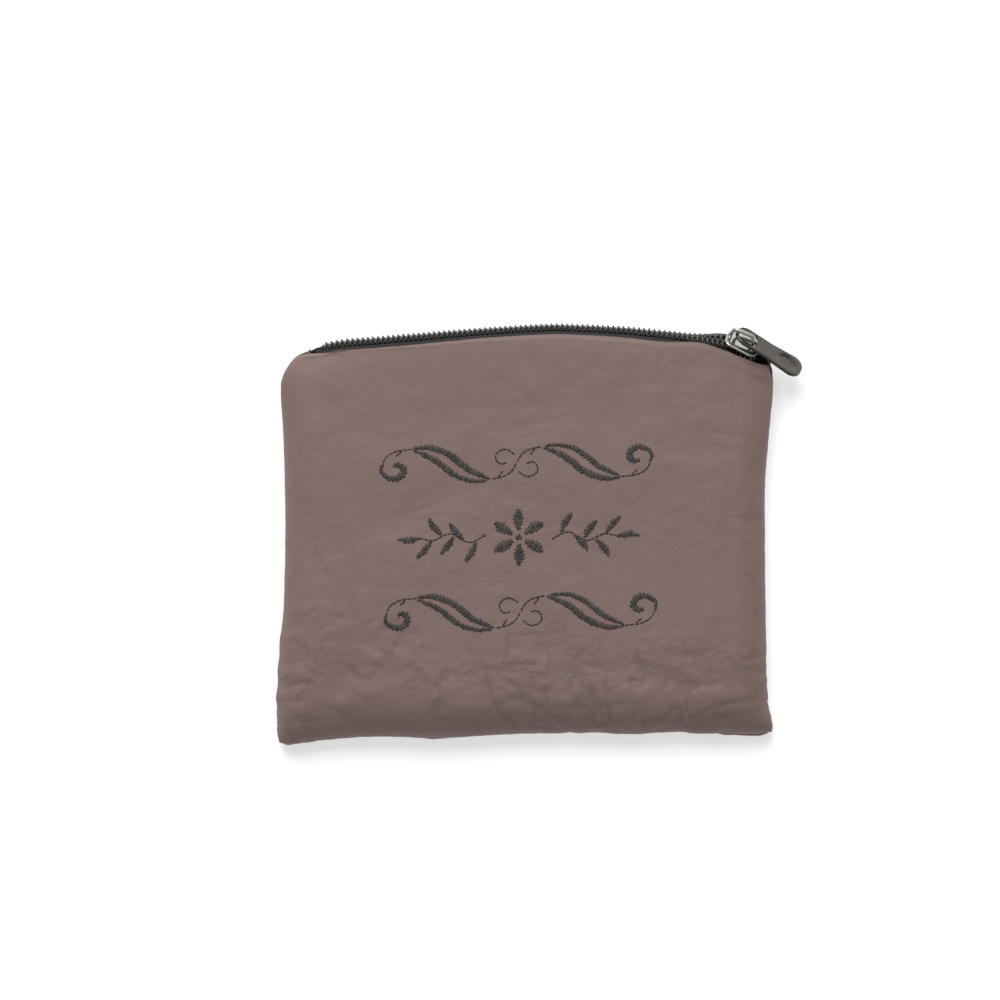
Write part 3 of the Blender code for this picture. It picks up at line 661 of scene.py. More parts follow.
# %% All the relief of a panel
# middle as shares of the width and height, half lengths in two directions, turn and depth
SOFT_DENTS = (
    (0.03, 0.30, 40.0, 11.0, 2.0, 0.50),
    (-0.20, 0.07, 19.0, 5.0, 24.0, 0.45),
    (-0.02, 0.02, 30.0, 15.0, -4.0, 0.60),
    (0.34, 0.22, 7.0, 5.0, 0.0, 0.40),
    (-0.42, -0.02, 6.0, 13.0, 18.0, 0.45),
    (-0.33, -0.32, 17.0, 6.0, 38.0, 0.55),
    (0.02, -0.24, 22.0, 5.0, -52.0, 0.35),
    (0.28, -0.36, 20.0, 5.0, -9.0, 0.50),
)


def soft_dents(x, y):
    """Long soft hollows: each is a bell stretched and turned in the plane."""
    depth = np.zeros_like(x)
    for at_x, at_y, length, width, turn, deep in SOFT_DENTS:
        turn = math.radians(turn)
        dx = x - at_x * WIDTH
        dy = y - at_y * HEIGHT
        along = (dx * math.cos(turn) + dy * math.sin(turn)) / length
        beside = (dy * math.cos(turn) - dx * math.sin(turn)) / width
        depth += deep * np.exp(-(along**2) - beside**2)
    return depth


def folds(x, y, size, seed):
    """|random field| of a bent plane: sharp valleys where it is 0 and slopes between them."""
    bent_x = x + 0.30 * size * layered_noise(x, y, size * 0.9, seed + 50, 2)
    bent_y = y + 0.30 * size * layered_noise(x, y, size * 0.9, seed + 70, 2)
    return np.abs(smooth_noise(bent_x, bent_y, size, seed))


def crinkle(x, y, seed):
    """Height of the crinkles, its share that is crease, and how creased each place is."""
    low_down = smooth_step((-14.0 - y) / 24.0)
    patches = np.clip(0.68 + 0.45 * layered_noise(x, y, 20.0, seed + 9), 0.25, 1)
    patches = patches * (0.38 + 0.80 * low_down)
    wide = crease_lines(x, y, 17.0, 0.62, seed + 1) * patches
    small = crease_lines(x, y * 1.15, 8.0, 0.45, seed + 2) * patches**1.2
    crumple = 0.36 * folds(x, y * 1.6, 10.0, seed + 3) + 0.21 * folds(x, y * 1.5, 5.6, seed + 5)
    crumple = crumple + 0.10 * folds(x, y * 1.3, 3.1, seed + 6)
    broad = layered_noise(x, y, 30.0, seed + 4, 2) * 0.12
    crease = np.maximum(0.12 * wide, 0.085 * small)
    return crumple * patches + broad - crease, crease, patches


print("hand-drawn creases", len(DRAWN_CREASES))

# %% [markdown]
# ## Making the panels
#
# At the mouth the skin bends round to lie on the tape, and its edge is folded under. The bend is a
# cubic curve from the last flat row to the fold line. The fold is an arc of a little over a
# quarter circle, and two more rows run back under the skin. Solidify then gives the skin its own
# thickness and closes the shell.

# %% The front and back panels
# corner as shares, radius, and what the front and the back panel lose there
CORNERS = ((0.0, 0.0, 17.0, 0.12, 0.12), (1.0, 0.0, 15.0, 0.10, 0.10),
           (0.0, 1.0, 12.0, 0.30, 0.0), (1.0, 1.0, 12.0, 0.46, 0.0))
MOUTH_TURN = 1.9
MOUTH_ROOM = 0.15
FOLD_ANGLES = (30, 60, 90, 115)
SEAM_GAP = 0.06
SETTLE = 5.0
TABLE_GAP = 0.02
FULL_CREASE = 0.11
# painted shade on the bend's last rows before the fold, as shares of the edge colour
EDGE_AND_SHADE_TINTS = (0.04, 0.12, 0.30, 0.62)


def corner_share(across, upward, side):
    """1 over most of a panel, less where a corner is pressed flat."""
    share = np.ones((len(across), len(upward)))
    for column, row, radius, front, back in CORNERS:
        lost = front if side > 0 else back
        x = (across[:, None] - column) * WIDTH
        y = (upward[None] - row) * HEIGHT
        share = share * (1 - lost * np.exp(-(x * x + y * y) / radius**2))
    return share


def bend_to_mouth(points, across, side, rows=MOUTH_ROWS):
    """The last rows follow a cubic from the flat skin to the fold line, ending along the tape."""
    start = points[:, -1 - rows]
    end = mouth_edge(across, side)
    level = (end - start) * np.array([1.0, 1.0, 0.0])
    _, _, out, to_front = zip_frame(across)
    half = mouth_half(across)[:, None]
    fall = droop(across)[:, None] / half
    turn = (side * to_front - out * fall) * MOUTH_TURN * half / MOUTH_HALF
    room = side * (start[:, 2:] - end[:, 2:]) + MOUTH_ROOM
    turn = turn * np.clip(room / np.maximum(np.abs(turn[:, 2:]), 1e-6), 0.10, 1.0)
    t = (np.arange(1, rows + 1) / rows)[None, :, None]
    points[:, -rows:] = (
        (1 - t) ** 3 * start[:, None] + 3 * (1 - t) ** 2 * t * (start + 0.7 * level)[:, None]
        + 3 * (1 - t) * t**2 * (end + turn)[:, None] + t**3 * end[:, None]
    )


def fold_size(shares):
    """Radius of the turned edge: smaller where the mouth closes at the ends of the zip."""
    return FOLD * np.minimum(mouth_half(shares) / 2.2, 1.0)


def fold_rows(points, normal, across, side):
    """Rows of the turned edge: an arc round the fold line, then back under the skin."""
    _, _, out, to_front = zip_frame(across)
    half = mouth_half(across)[:, None]
    slope = droop(across)[:, None] / half
    back = unit(side * to_front - out * slope)
    down = unit(out + side * to_front * slope)
    size = fold_size(across)[:, None]
    edge = points[:, -1]
    rows = []
    for angle in np.radians(FOLD_ANGLES):
        rows.append(edge - down * size * (1 - math.cos(angle)) - back * size * math.sin(angle))
    for row in range(2, 2 + HEM_ROWS):
        rows.append(points[:, -row] - normal[:, -row] * 2 * size)
    return np.stack(rows, axis=1)


def skin_normal(points, side):
    """Outward directions: the cross product of the grid's two slopes."""
    return unit(np.cross(np.gradient(points, axis=0), np.gradient(points, axis=1))) * side


def panel_points(side, fine, seed):
    """Outer skin of a panel, with its turned edge, and the paint for the creases' painted shade and for
    the edge's colour and painted shade.
    """
    (across, across_rise, across_tuck), (upward, upward_rise, upward_tuck) = panel_lines(fine)
    points = base_surface(across, upward, side)
    out = (1 - across_tuck[:, None]) * (1 - upward_tuck[None])
    rise = met(across_rise[:, None], upward_rise[None]) * corner_share(across, upward, side)
    fit = 1 - smooth_step((upward - 1 + EDGE_FIT) / EDGE_FIT)[None]
    points[..., 2] += side * (SEAM_GAP + TUCK_DROP * out * fit)
    x, y = points[..., 0].copy(), points[..., 1].copy()
    height, crease, patches = crinkle(x, y, seed)
    if side > 0:
        bow = np.abs(2 * across[:, None] - 1) ** 2.5
        slope = np.abs(2 * upward[None] - 1) ** 3
        crown = CROWN * (1 - 0.10 * bow - 0.05 * slope) - soft_dents(x, y)
        points[..., 2] += (crown - points[..., 2]) * rise
        drawn = drawn_creases(x, y)
        height = height - drawn
        crease = np.maximum(crease, drawn)
    else:
        flat = np.minimum(rise / 0.985, 1.0)
        points[..., 2] *= 1 - flat
        height = height * (1 - 0.9 * flat)
    bend_to_mouth(points, across, side)
    closing = 0.9 * (1 - fit[0])[:, None]
    for tucked, outline in ((slice(0, TUCK_ROWS), TUCK_ROWS), (slice(-TUCK_ROWS, None), -TUCK_ROWS - 1)):
        points[tucked] = points[tucked] * (1 - closing) + points[outline] * closing
    settled = smooth_step((1 - upward[None]) * HEIGHT / SETTLE) * np.ones_like(x)
    normal = skin_normal(points, side)
    points = points + normal * (height * settled * np.clip(out, 0, 1))[..., None]
    normal = skin_normal(points, side)
    if side < 0:
        points[..., 2] = np.maximum(points[..., 2], TABLE_GAP)
    folded = fold_rows(points, normal, across, side)
    turned = folded.shape[1]
    hem = np.zeros(folded.shape[:2])
    crease = np.concatenate([crease * settled / FULL_CREASE, hem], axis=1)
    patches = np.concatenate([patches * settled, hem], axis=1)
    edge = np.zeros(crease.shape)
    # the edge paint: the edge's own colour and painted shade, faint on the bend's last rows and full on
    # the turned rows
    edge[:, -turned - len(EDGE_AND_SHADE_TINTS):-turned] = EDGE_AND_SHADE_TINTS
    edge[:, -turned:] = (0.9, *[1.0] * (turned - 1))
    wall = np.ones(crease.shape)
    wall[:, -turned - MOUTH_ROWS:] = fold_size(across)[:, None] / FOLD
    return np.concatenate([points, folded], axis=1), {
        "crease": np.clip(crease, 0, 1), "edge": edge, "creased": patches, "wall": wall
    }


def make_panel(name, node, side, fine, seed):
    """A closed skin from the grid, facing out, riding on the purse in its solid's place."""
    points, paints = panel_points(side, fine, seed)
    faces = grid_faces(*points.shape[:2])
    piece = make_piece(name, points, faces if side > 0 else faces[:, ::-1], LEATHER)
    for label in ("crease", "edge", "creased"):
        paint(piece, label, paints[label])
    thickness = piece.vertex_groups.new(name="wall")
    shares = paints["wall"].ravel().round(2)
    for share in np.unique(shares):
        thickness.add(np.flatnonzero(shares == share).tolist(), float(share), "REPLACE")
    wall = piece.modifiers.new("skin", "SOLIDIFY")
    wall.thickness = SKIN * 0.001
    wall.offset = -1.0
    wall.vertex_group = "wall"
    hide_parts(node)
    return piece, points


front_leather, FRONT_GRID = make_panel("front_leather", "front_panel", 1, 1.12, 11)
back_leather, _ = make_panel("back_leather", "back_panel", -1, 0.72, 31)

# %% [markdown]
# ## The zip tapes
#
# Each tape is a strip of weave that runs under the panel's fold and ends in a thicker cord beside
# the coil. It slopes back from the coil to the leather, which is why a dark band of it shows from
# above. A grid along the zip and across the strip is enough.

# %% The two tapes
# rows across a tape, from under the fold inward: share of the half mouth, and height
TAPE_LINE = ((1.10, -1.70), (1.08, -0.70), (1.0, 0.0), (0.88, 0.16), (0.76, 0.50), (0.66, 0.85),
             (0.58, 1.10), (0.52, 1.00), (0.47, 0.30), (0.40, 0.0), (0.26, 0.04), (0.17, 0.10),
             (0.10, 0.04))
TAPE_ENDS = (0.012, 0.986)
TAPE_COLUMNS = 260
TAPE_END = 7.0
TAPE_PULL = 0.75


def make_tape(name, node, side):
    """A strip along the zip: its height falls with the droop, share by share, to the leather."""
    opened = np.linspace(*TAPE_ENDS, TAPE_COLUMNS)
    hidden = TAPE_END / ZIP_LENGTH
    pulled = np.where(opened < hidden, TAPE_PULL * hidden + (1 - TAPE_PULL) * opened, opened)
    past = 1 - TAPE_PULL * hidden - (1 - TAPE_PULL) * (1 - opened)
    pulled = np.where(opened > 1 - hidden, past, pulled)
    rows = []
    for share, height in TAPE_LINE:
        shares = pulled if share >= 1 else opened
        middle, _, out, to_front = zip_frame(shares)
        inward, upward = beside_slider(shares, side)
        half = mouth_half(shares) - inward
        free = smooth_step((0.86 - shares) / 0.10)
        height = height * np.where(share < 1, free, 1.0) + upward * smooth_step((share - 0.3) / 0.7)
        covered = smooth_step((shares - 0.08) / 0.12) * smooth_step((0.92 - shares) / 0.12)
        share = share if share <= 1 else 1 + (share - 1) * (0.15 + 0.85 * covered)
        apart = spread(shares) * (1 - smooth_step((share - 0.1) / 0.9))
        beside = np.maximum(share * half, 0.1) + apart
        fall = droop(shares) * np.minimum(share, 1.0) * 1.15
        rows.append(middle + side * to_front * beside[:, None] + out * (height - fall)[:, None])
    points = np.stack(rows, axis=1)
    faces = grid_faces(*points.shape[:2])
    piece = make_piece(name, points, faces if side > 0 else faces[:, ::-1], TAPE_WEAVE)
    middle_row = points[TAPE_COLUMNS // 2]
    wide = np.concatenate([[0], np.cumsum(np.linalg.norm(np.diff(middle_row, axis=0), axis=1))])
    u, v = np.meshgrid(opened * ZIP_LENGTH, wide, indexing="ij")
    lay_flat(piece, u, v)
    wall = piece.modifiers.new("weave", "SOLIDIFY")
    wall.thickness = TAPE * 0.001
    wall.offset = 0.0
    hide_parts(node)
    return piece


tape_front_weave = make_tape("tape_front_weave", "tape_front", 1)
tape_back_weave = make_tape("tape_back_weave", "tape_back", -1)

# %% [markdown]
# ## The coils
#
# The teeth of this zip are one nylon wire wound in a flat spiral along each tape's edge. A tooth
# is one turn. The wire's path is a squashed circle that moves along the zip as it turns, and the
# two spirals are half a turn apart, so that their heads lie between each other.

# %% The two coils
COIL_PITCH = 1.29
WIRE = 0.56
WIRE_SIDES = 7
TURN_STEPS = 12
COIL_START = 3.4
COIL_MIDDLE = (1.02, 1.10)
COIL_REACH = (0.98, 0.62)
COIL_LEAN = 0.16


def ring_directions(path):
    """Two directions square to a path at each point: one kept near a slow-turning guide."""
    ahead = unit(np.gradient(path, axis=0))
    guide = np.zeros_like(ahead)
    guide[:, 2] = 1
    first = unit(np.cross(ahead, guide) + 1e-6)
    return first, np.cross(ahead, first)


def tube_points(path, first, second, wide, high, sides):
    """Rings round a path: centre + wide cos a in one direction + high sin a in the other."""
    angle = np.linspace(0, 2 * math.pi, sides, endpoint=False)
    wide = np.broadcast_to(np.asarray(wide, float), path.shape[:-1])[..., None, None]
    high = np.broadcast_to(np.asarray(high, float), path.shape[:-1])[..., None, None]
    cos = np.cos(angle)[:, None]
    sin = np.sin(angle)[:, None]
    return path[..., None, :] + wide * cos * first[..., None, :] + high * sin * second[..., None, :]


def tube_caps(rings, sides, start=0):
    """Corner numbers of the two end faces of a tube."""
    low = [start + k for k in range(sides)]
    high = [start + (rings - 1) * sides + k for k in range(sides)]
    return [low, high[::-1]]


def squashed(wave, power):
    """sign(w) |w|^power: a wave with a flatter or a fuller top."""
    return np.sign(wave) * np.abs(wave) ** power


def coil_path(side):
    """Wire path: along the zip by a pitch a turn, round a flat loop over the tape's edge."""
    start = COIL_START / ZIP_LENGTH
    end = SLIDER_SHARE + 0.50 * SLIDER_LENGTH / ZIP_LENGTH
    turns = (end - start) * ZIP_LENGTH / COIL_PITCH
    step = np.linspace(0, turns, int(turns * TURN_STEPS) + 1)
    shares = start + step * COIL_PITCH / ZIP_LENGTH
    angle = 2 * math.pi * (step + (0.5 if side < 0 else 0.0))
    middle, along, out, to_front = zip_frame(shares)
    beside = COIL_MIDDLE[0] - COIL_REACH[0] * squashed(np.cos(angle), 0.7) + spread(shares)
    beside = np.minimum(beside, mouth_half(shares) - 0.35)
    above = COIL_MIDDLE[1] + COIL_REACH[1] * squashed(np.sin(angle), 0.8)
    lean = COIL_LEAN * np.cos(angle)
    return middle + side * to_front * beside[:, None] + out * above[:, None] + along * lean[:, None]


def make_coil(name, node, side):
    """One wire wound from end to end, as a closed tube."""
    path = coil_path(side)
    first, second = ring_directions(path)
    points = tube_points(path, first, second, WIRE / 2, WIRE / 2, WIRE_SIDES)
    faces = grid_faces(len(path), WIRE_SIDES, round_rows=True)
    piece = make_piece(name, points, faces[:, ::-1], NYLON, caps=tube_caps(len(path), WIRE_SIDES))
    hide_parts(node)
    return piece


coil_front_wire = make_coil("coil_front_wire", "coil_front", 1)
coil_back_wire = make_coil("coil_back_wire", "coil_back", -1)

# %% [markdown]
# ## The slider
#
# A die-cast slider has two plates held apart by a divider, flanges that press the coils together,
# and a bridge for the pull. It is worked out flat, with x along the zip and z out of its face, and
# then turned onto the zip. A plate is a stack of the same outline: each ring is moved in by what
# the round edge needs, and two more rings crown its top.

# %% Places and plates for the metal pieces
def slider_place():
    """Columns of the slider's directions and its middle, in the purse's frame."""
    middle, along, out, to_front = (row[0] for row in zip_frame([SLIDER_SHARE]))
    return np.stack([along, -to_front, out], axis=1), middle


def onto_slider(points):
    """Flat slider coordinates turned and moved onto the zip."""
    turned, middle = slider_place()
    return points @ turned.T + middle


def arc(centre, radius, start, end, steps):
    """Points of a round corner, from one angle to another, in degrees."""
    angle = np.radians(np.linspace(start, end, steps + 1))
    return np.stack([centre[0] + radius * np.cos(angle), centre[1] + radius * np.sin(angle)], axis=-1)


def round_box(x_low, x_high, y_low, y_high, corner, steps):
    """A box outline with four round corners, counter-clockwise from the right one on top."""
    middles = (
        (x_high - corner, y_high - corner), (x_low + corner, y_high - corner),
        (x_low + corner, y_low + corner), (x_high - corner, y_low + corner),
    )
    return np.vstack([
        arc(middle, corner, 90 * k, 90 * (k + 1), steps) for k, middle in enumerate(middles)
    ])


def even_loop(points, count):
    """A closed outline cut into equal lengths."""
    closed = np.vstack([points, points[:1]])
    reached = np.concatenate([[0], np.cumsum(np.linalg.norm(np.diff(closed, axis=0), axis=1))])
    at = np.linspace(0, reached[-1], count, endpoint=False)
    return np.stack([np.interp(at, reached, column) for column in closed.T], axis=-1)


def outward(loop):
    """Unit normals of a closed outline that runs counter-clockwise."""
    ahead = np.roll(loop, -1, axis=0) - np.roll(loop, 1, axis=0)
    return unit(np.stack([ahead[:, 1], -ahead[:, 0]], axis=-1))


def plate_shell(outline, low, high, edge, crown=0.0):
    """Rings of a plate: height low + e(1 - cos a), moved in by e(1 - sin a), and a crowned top."""
    normal = outward(outline)
    angle = np.linspace(0, math.pi / 2, 5)
    inset = np.concatenate([edge * (1 - np.sin(angle)), edge * (1 - np.sin(angle[::-1]))])
    level = edge * (1 - np.cos(angle))
    level = np.concatenate([low + level, high - level[::-1]])
    rings = [
        np.column_stack([outline - normal * i, np.full(len(outline), z)])
        for i, z in zip(inset, level)
    ]
    centre = outline.mean(axis=0)
    rim = rings[-1][:, :2]
    for line, share, lift in ((rim, 0.72, 0.75), (outline, 0.35, 1.0)):
        ring = centre + (line - centre) * share
        rings.append(np.column_stack([ring, np.full(len(outline), high + crown * lift)]))
    return np.stack(rings)


def shell_faces(rings, sides, start):
    """Faces of a stack of rings, with a cap on each end, numbered from start."""
    faces = grid_faces(rings, sides, round_rows=True) + start
    low = list(range(start, start + sides))
    high = list(range(start + (rings - 1) * sides, start + rings * sides))
    return faces[:, ::-1].tolist() + [low[::-1], high]


def joined(shells):
    """Several ring stacks as one list of points and one list of faces."""
    points = []
    faces = []
    count = 0
    for shell in shells:
        faces += shell_faces(shell.shape[0], shell.shape[1], count)
        points.append(shell.reshape(-1, 3))
        count += shell.shape[0] * shell.shape[1]
    return np.vstack(points), faces


# %% The slider's body
PLATE_TOP = (2.5, 3.3)
PLATE_UNDER = (-1.6, -0.8)
NOSE_WIDTH = 7.0
TAIL_WIDTH = 6.5
BRIDGE_TOP = 6.334
BRIDGE_BAR = 1.1
BRIDGE_ENDS = (-3.6, 2.35)
FLANGE = (2.42, 3.14)
FLANGE_START = 0.75
FLANGE_END = -0.14
BLOCK_CORNER = 0.28
OVERLAP = 0.4


def slider_outline(corner=1.7):
    """Counter-clockwise plate outline: wide and round at the nose, a little narrower at the tail."""
    half = SLIDER_LENGTH / 2
    nose = NOSE_WIDTH / 2 - corner
    tail = TAIL_WIDTH / 2 - corner
    loop = np.vstack([
        arc((half - corner, nose), corner, 0, 90, 8),
        arc((-half + corner, tail), corner, 90, 180, 8),
        arc((-half + corner, -tail), corner, 180, 270, 8),
        arc((half - corner, -nose), corner, 270, 360, 8),
    ])
    return even_loop(loop, 72)


def block(x_low, x_high, y_low, y_high, low, high, edge=0.15):
    """A small block with round corners and edges."""
    loop = round_box(x_low, x_high, y_low, y_high, BLOCK_CORNER, 4)
    return plate_shell(even_loop(loop, 28), low, high, edge)


def bridge_shell():
    """A flattened bar that rises from the plate, turns twice and comes down again."""
    foot = PLATE_TOP[1] - OVERLAP
    shoulder = 1.35
    tail, nose = BRIDGE_ENDS
    path = np.vstack([
        [(tail, foot)], arc((tail + shoulder, BRIDGE_TOP - shoulder), shoulder, 180, 90, 9),
        arc((nose - shoulder, BRIDGE_TOP - shoulder), shoulder, 90, 0, 9), [(nose, foot)],
    ])
    path = np.column_stack([path[:, 0], np.zeros(len(path)), path[:, 1]])
    ahead = unit(np.gradient(path, axis=0))
    across = np.zeros_like(path)
    across[:, 1] = 1
    wide = np.linspace(-1, 1, len(path)) ** 4 * 0.25 + BRIDGE_BAR / 2 * 1.1
    return tube_points(path, across, np.cross(ahead, across), wide, BRIDGE_BAR / 2 * 0.92, 16)


def make_slider():
    """Two plates, divider, flanges and bridge as one piece of metal."""
    half = SLIDER_LENGTH / 2
    outline = slider_outline()
    shells = [
        plate_shell(outline, *PLATE_TOP, 0.26, 0.10),
        plate_shell(outline, *PLATE_UNDER, 0.22),
        block(0.12 * half, 0.92 * half, -1.0, 1.0, PLATE_UNDER[0] + OVERLAP, PLATE_TOP[1] - OVERLAP),
        bridge_shell(),
    ]
    for sign in (1, -1):
        y_low, y_high = sorted((sign * FLANGE[0], sign * FLANGE[1]))
        for low, high in ((0.75, PLATE_TOP[0] + OVERLAP), (PLATE_UNDER[0] + OVERLAP, -0.35)):
            x_low, x_high = -half + FLANGE_START, FLANGE_END * SLIDER_LENGTH
            shells.append(block(x_low, x_high, y_low, y_high, low, high))
    points, faces = joined(shells)
    piece = make_piece("slider_body", onto_slider(points), faces, SLIDER_NICKEL)
    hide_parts("slider")
    return piece


slider_body = make_slider()

# %% [markdown]
# ## The pull
#
# The pull is a stamped tab. One end has an eye that hangs on the bridge, and near its tip a
# shallow oval is pressed in, which catches the light in the photograph. Its outline and its hole
# are two closed lines of the same number of points, so the tab is a grid from one to the other:
# over the top, round the edge, back underneath and up through the hole.

# %% The pull tab
PULL_LENGTH = 19.3
PULL_THICKNESS = 0.9
PULL_EDGE = 0.28
PULL_SLOPE = math.radians(8.5)
PULL_PIVOT = (-2.2, 0.8, 5.034)
PULL_HALVES = (3.2, 3.05, 3.65)
HOLE = (0.5, 5.7, 1.9, 0.8)
PRESSED = (14.4, 3.2, 2.5, 0.38)
PULL_BACK = -0.5
PULL_CORNER = 2.92


def pull_loops(count=132):
    """The tab's outline and the eye's hole, both counter-clockwise from the far side's middle."""
    eye, waist, wide = PULL_HALVES
    back = PULL_BACK
    tip = back + PULL_LENGTH
    corner = PULL_CORNER
    middle = back + 0.5 * PULL_LENGTH
    outline = np.vstack([
        [(tip, 0.0)], arc((tip - corner, wide - corner), corner, 0, 90, 10), [(middle, waist)],
        arc((back + eye, 0.0), eye, 90, 270, 24), [(middle, -waist)],
        arc((tip - corner, -wide + corner), corner, -90, 0, 10),
    ])
    near, far, half, round_by = HOLE
    hole = np.vstack([[(far, 0.0)], round_box(near, far, -half, half, round_by, 6)])
    return even_loop(outline, count), even_loop(hole, count)


def pull_height(x, y):
    """Half the tab's thickness, less the pressed oval: depth times (1 - r^2)^2 inside it."""
    at, long, wide, deep = PRESSED
    inside = np.clip(1 - ((x - at) / long) ** 2 - (y / wide) ** 2, 0, 1)
    return PULL_THICKNESS / 2 - deep * smooth_step(inside * 1.6)


def make_pull():
    """The tab's grid: rows from the hole over the top to the outline, and back underneath."""
    outline, hole = pull_loops()
    outer = outward(outline)
    inner = outward(hole)
    angle = np.linspace(0, math.pi / 2, 6)[1:]
    rows = []
    for a in angle:
        rows.append((hole + inner * PULL_EDGE * (1 - math.cos(a)), PULL_EDGE * (1 - math.sin(a))))
    start = hole + inner * PULL_EDGE
    end = outline - outer * PULL_EDGE
    for share in np.linspace(0, 1, 42)[1:-1]:
        rows.append((start * (1 - share) + end * share, 0.0))
    for a in angle[::-1]:
        rows.append((outline - outer * PULL_EDGE * (1 - math.cos(a)), PULL_EDGE * (1 - math.sin(a))))
    upper = [np.column_stack([xy, pull_height(*xy.T) - drop]) for xy, drop in rows]
    lower = [np.column_stack([xy, drop - PULL_THICKNESS / 2 + 0 * xy[:, 0]]) for xy, drop in rows[::-1]]
    grid = np.stack(upper + lower)
    cos, sin = math.cos(PULL_SLOPE), math.sin(PULL_SLOPE)
    x, y, z = np.moveaxis(grid, -1, 0)
    placed = np.stack([x * cos + z * sin, y, z * cos - x * sin], axis=-1) + np.array(PULL_PIVOT)
    faces = grid_faces(*grid.shape[:2], round_columns=True, round_rows=True)
    piece = make_piece("pull_plate", onto_slider(placed), faces, PULL_NICKEL, body="pull")
    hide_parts("pull_tab")
    return piece


pull_plate = make_pull()

# %% [markdown]
# ## The embroidery
#
# The purse has two bands of scrolls in dark thread. The leaves and spirals are satin stitch: the
# thread crosses a narrow column again and again, with a slightly ragged edge. The fine curls are
# running stitch. Each stitch is a small flattened tube that rises from the leather and dives in
# again, so its ends are real geometry, with painted shade where they dive in. Between the bands
# lies a common ornament, a rosette with two leaf sprigs.

# %% Where the front skin lies
# rows left out of the first guess, because they turn under at the mouth
PAST_MOUTH = 9
TRIES = 12


def on_grid(grid, i, j):
    """Bilinear blend of the four grid points round column i and row j."""
    low_i = np.clip(np.floor(i).astype(int), 0, grid.shape[0] - 2)
    low_j = np.clip(np.floor(j).astype(int), 0, grid.shape[1] - 2)
    a = (i - low_i)[..., None]
    b = (j - low_j)[..., None]
    low = grid[low_i, low_j] * (1 - a) + grid[low_i + 1, low_j] * a
    high = grid[low_i, low_j + 1] * (1 - a) + grid[low_i + 1, low_j + 1] * a
    return low * (1 - b) + high * b


def front_height(x, y):
    """Height of the front skin over x and y: a guessed grid place, mended by its miss."""
    columns, rows = FRONT_GRID.shape[:2]
    i = (x / WIDTH + 0.5) * (columns - 1)
    j = (y / HEIGHT + 0.5) * (rows - PAST_MOUTH)
    for _ in range(TRIES):
        here = on_grid(FRONT_GRID, i, j)
        i = i + (x - here[..., 0]) * (columns - 1) / WIDTH
        j = j + (y - here[..., 1]) * (rows - PAST_MOUTH) / HEIGHT
    return on_grid(FRONT_GRID, i, j)[..., 2]


# %% Stitches
THREAD_WIDE = 0.215
THREAD_HIGH = 0.15
STITCH_RINGS = 7
THREAD_SIDES = 6
THREAD_SINK = 0.16
SATIN_PITCH = 0.42
SATIN_SLANT = 0.16
SATIN_LIFT = 0.18
RUNNING_LIFT = 0.07
RUNNING_SIZE = 0.80


def stitch_tubes(starts, ends, lift, size, random):
    """One tube a stitch: an arched path, lift(1 - w^4) over the skin, sunk in at both ends."""
    w = np.linspace(-1, 1, STITCH_RINGS)[None, :, None]
    flat = starts[:, None] * (1 - w) / 2 + ends[:, None] * (1 + w) / 2
    high = lift[:, None] * (1 - w[..., 0] ** 4) - THREAD_SINK * w[..., 0] ** 4
    level = front_height(flat[..., 0], flat[..., 1]) + high
    path = np.concatenate([flat, level[..., None]], axis=2)
    ahead = unit(ends - starts)
    beside = np.column_stack([-ahead[:, 1], ahead[:, 0], np.zeros(len(ahead))])
    beside = np.broadcast_to(beside[:, None], path.shape)
    up = np.zeros_like(path)
    up[..., 2] = 1
    plump = (1 - 0.45 * w[..., 0] ** 6) * random.uniform(0.88, 1.12, (len(starts), 1)) * size[:, None]
    return tube_points(path, beside, up, THREAD_WIDE * plump, THREAD_HIGH * plump, THREAD_SIDES)


def satin(line, widths, random):
    """Start and end of each stitch across a column: alternate slant, and a ragged edge."""
    count = max(int(length_of(through(line, np.linspace(0, 1, 60))) / SATIN_PITCH), 3)
    shares = (np.arange(count) + 0.5) / count
    middle = through(line, shares)
    after = through(line, np.clip(shares + 0.01, 0, 1))
    ahead = unit(after - through(line, np.clip(shares - 0.01, 0, 1)))
    across = np.stack([-ahead[:, 1], ahead[:, 0]], axis=-1)
    half = np.interp(shares, np.linspace(0, 1, len(widths)), widths)[:, None] / 2
    ragged = random.uniform(-0.16, 0.24, (2, count, 1))
    slant = np.where(np.arange(count) % 2, SATIN_SLANT, -SATIN_SLANT)[:, None]
    return (
        middle - across * (half + ragged[0]) - ahead * slant,
        middle + across * (half + ragged[1]) + ahead * slant,
    )


def running(line, random, stitch=1.35, gap=-0.12):
    """Start and end of each stitch along a line, each a little over the one before."""
    length = length_of(through(line, np.linspace(0, 1, 60)))
    count = max(round(length / (stitch + gap)), 1)
    reach = stitch / (stitch + gap)
    first = (np.arange(count) + (1 - reach) / 2) / count
    shift = random.uniform(-0.06, 0.06, (2, count, 2))
    return through(line, first) + shift[0], through(line, first + reach / count) + shift[1]


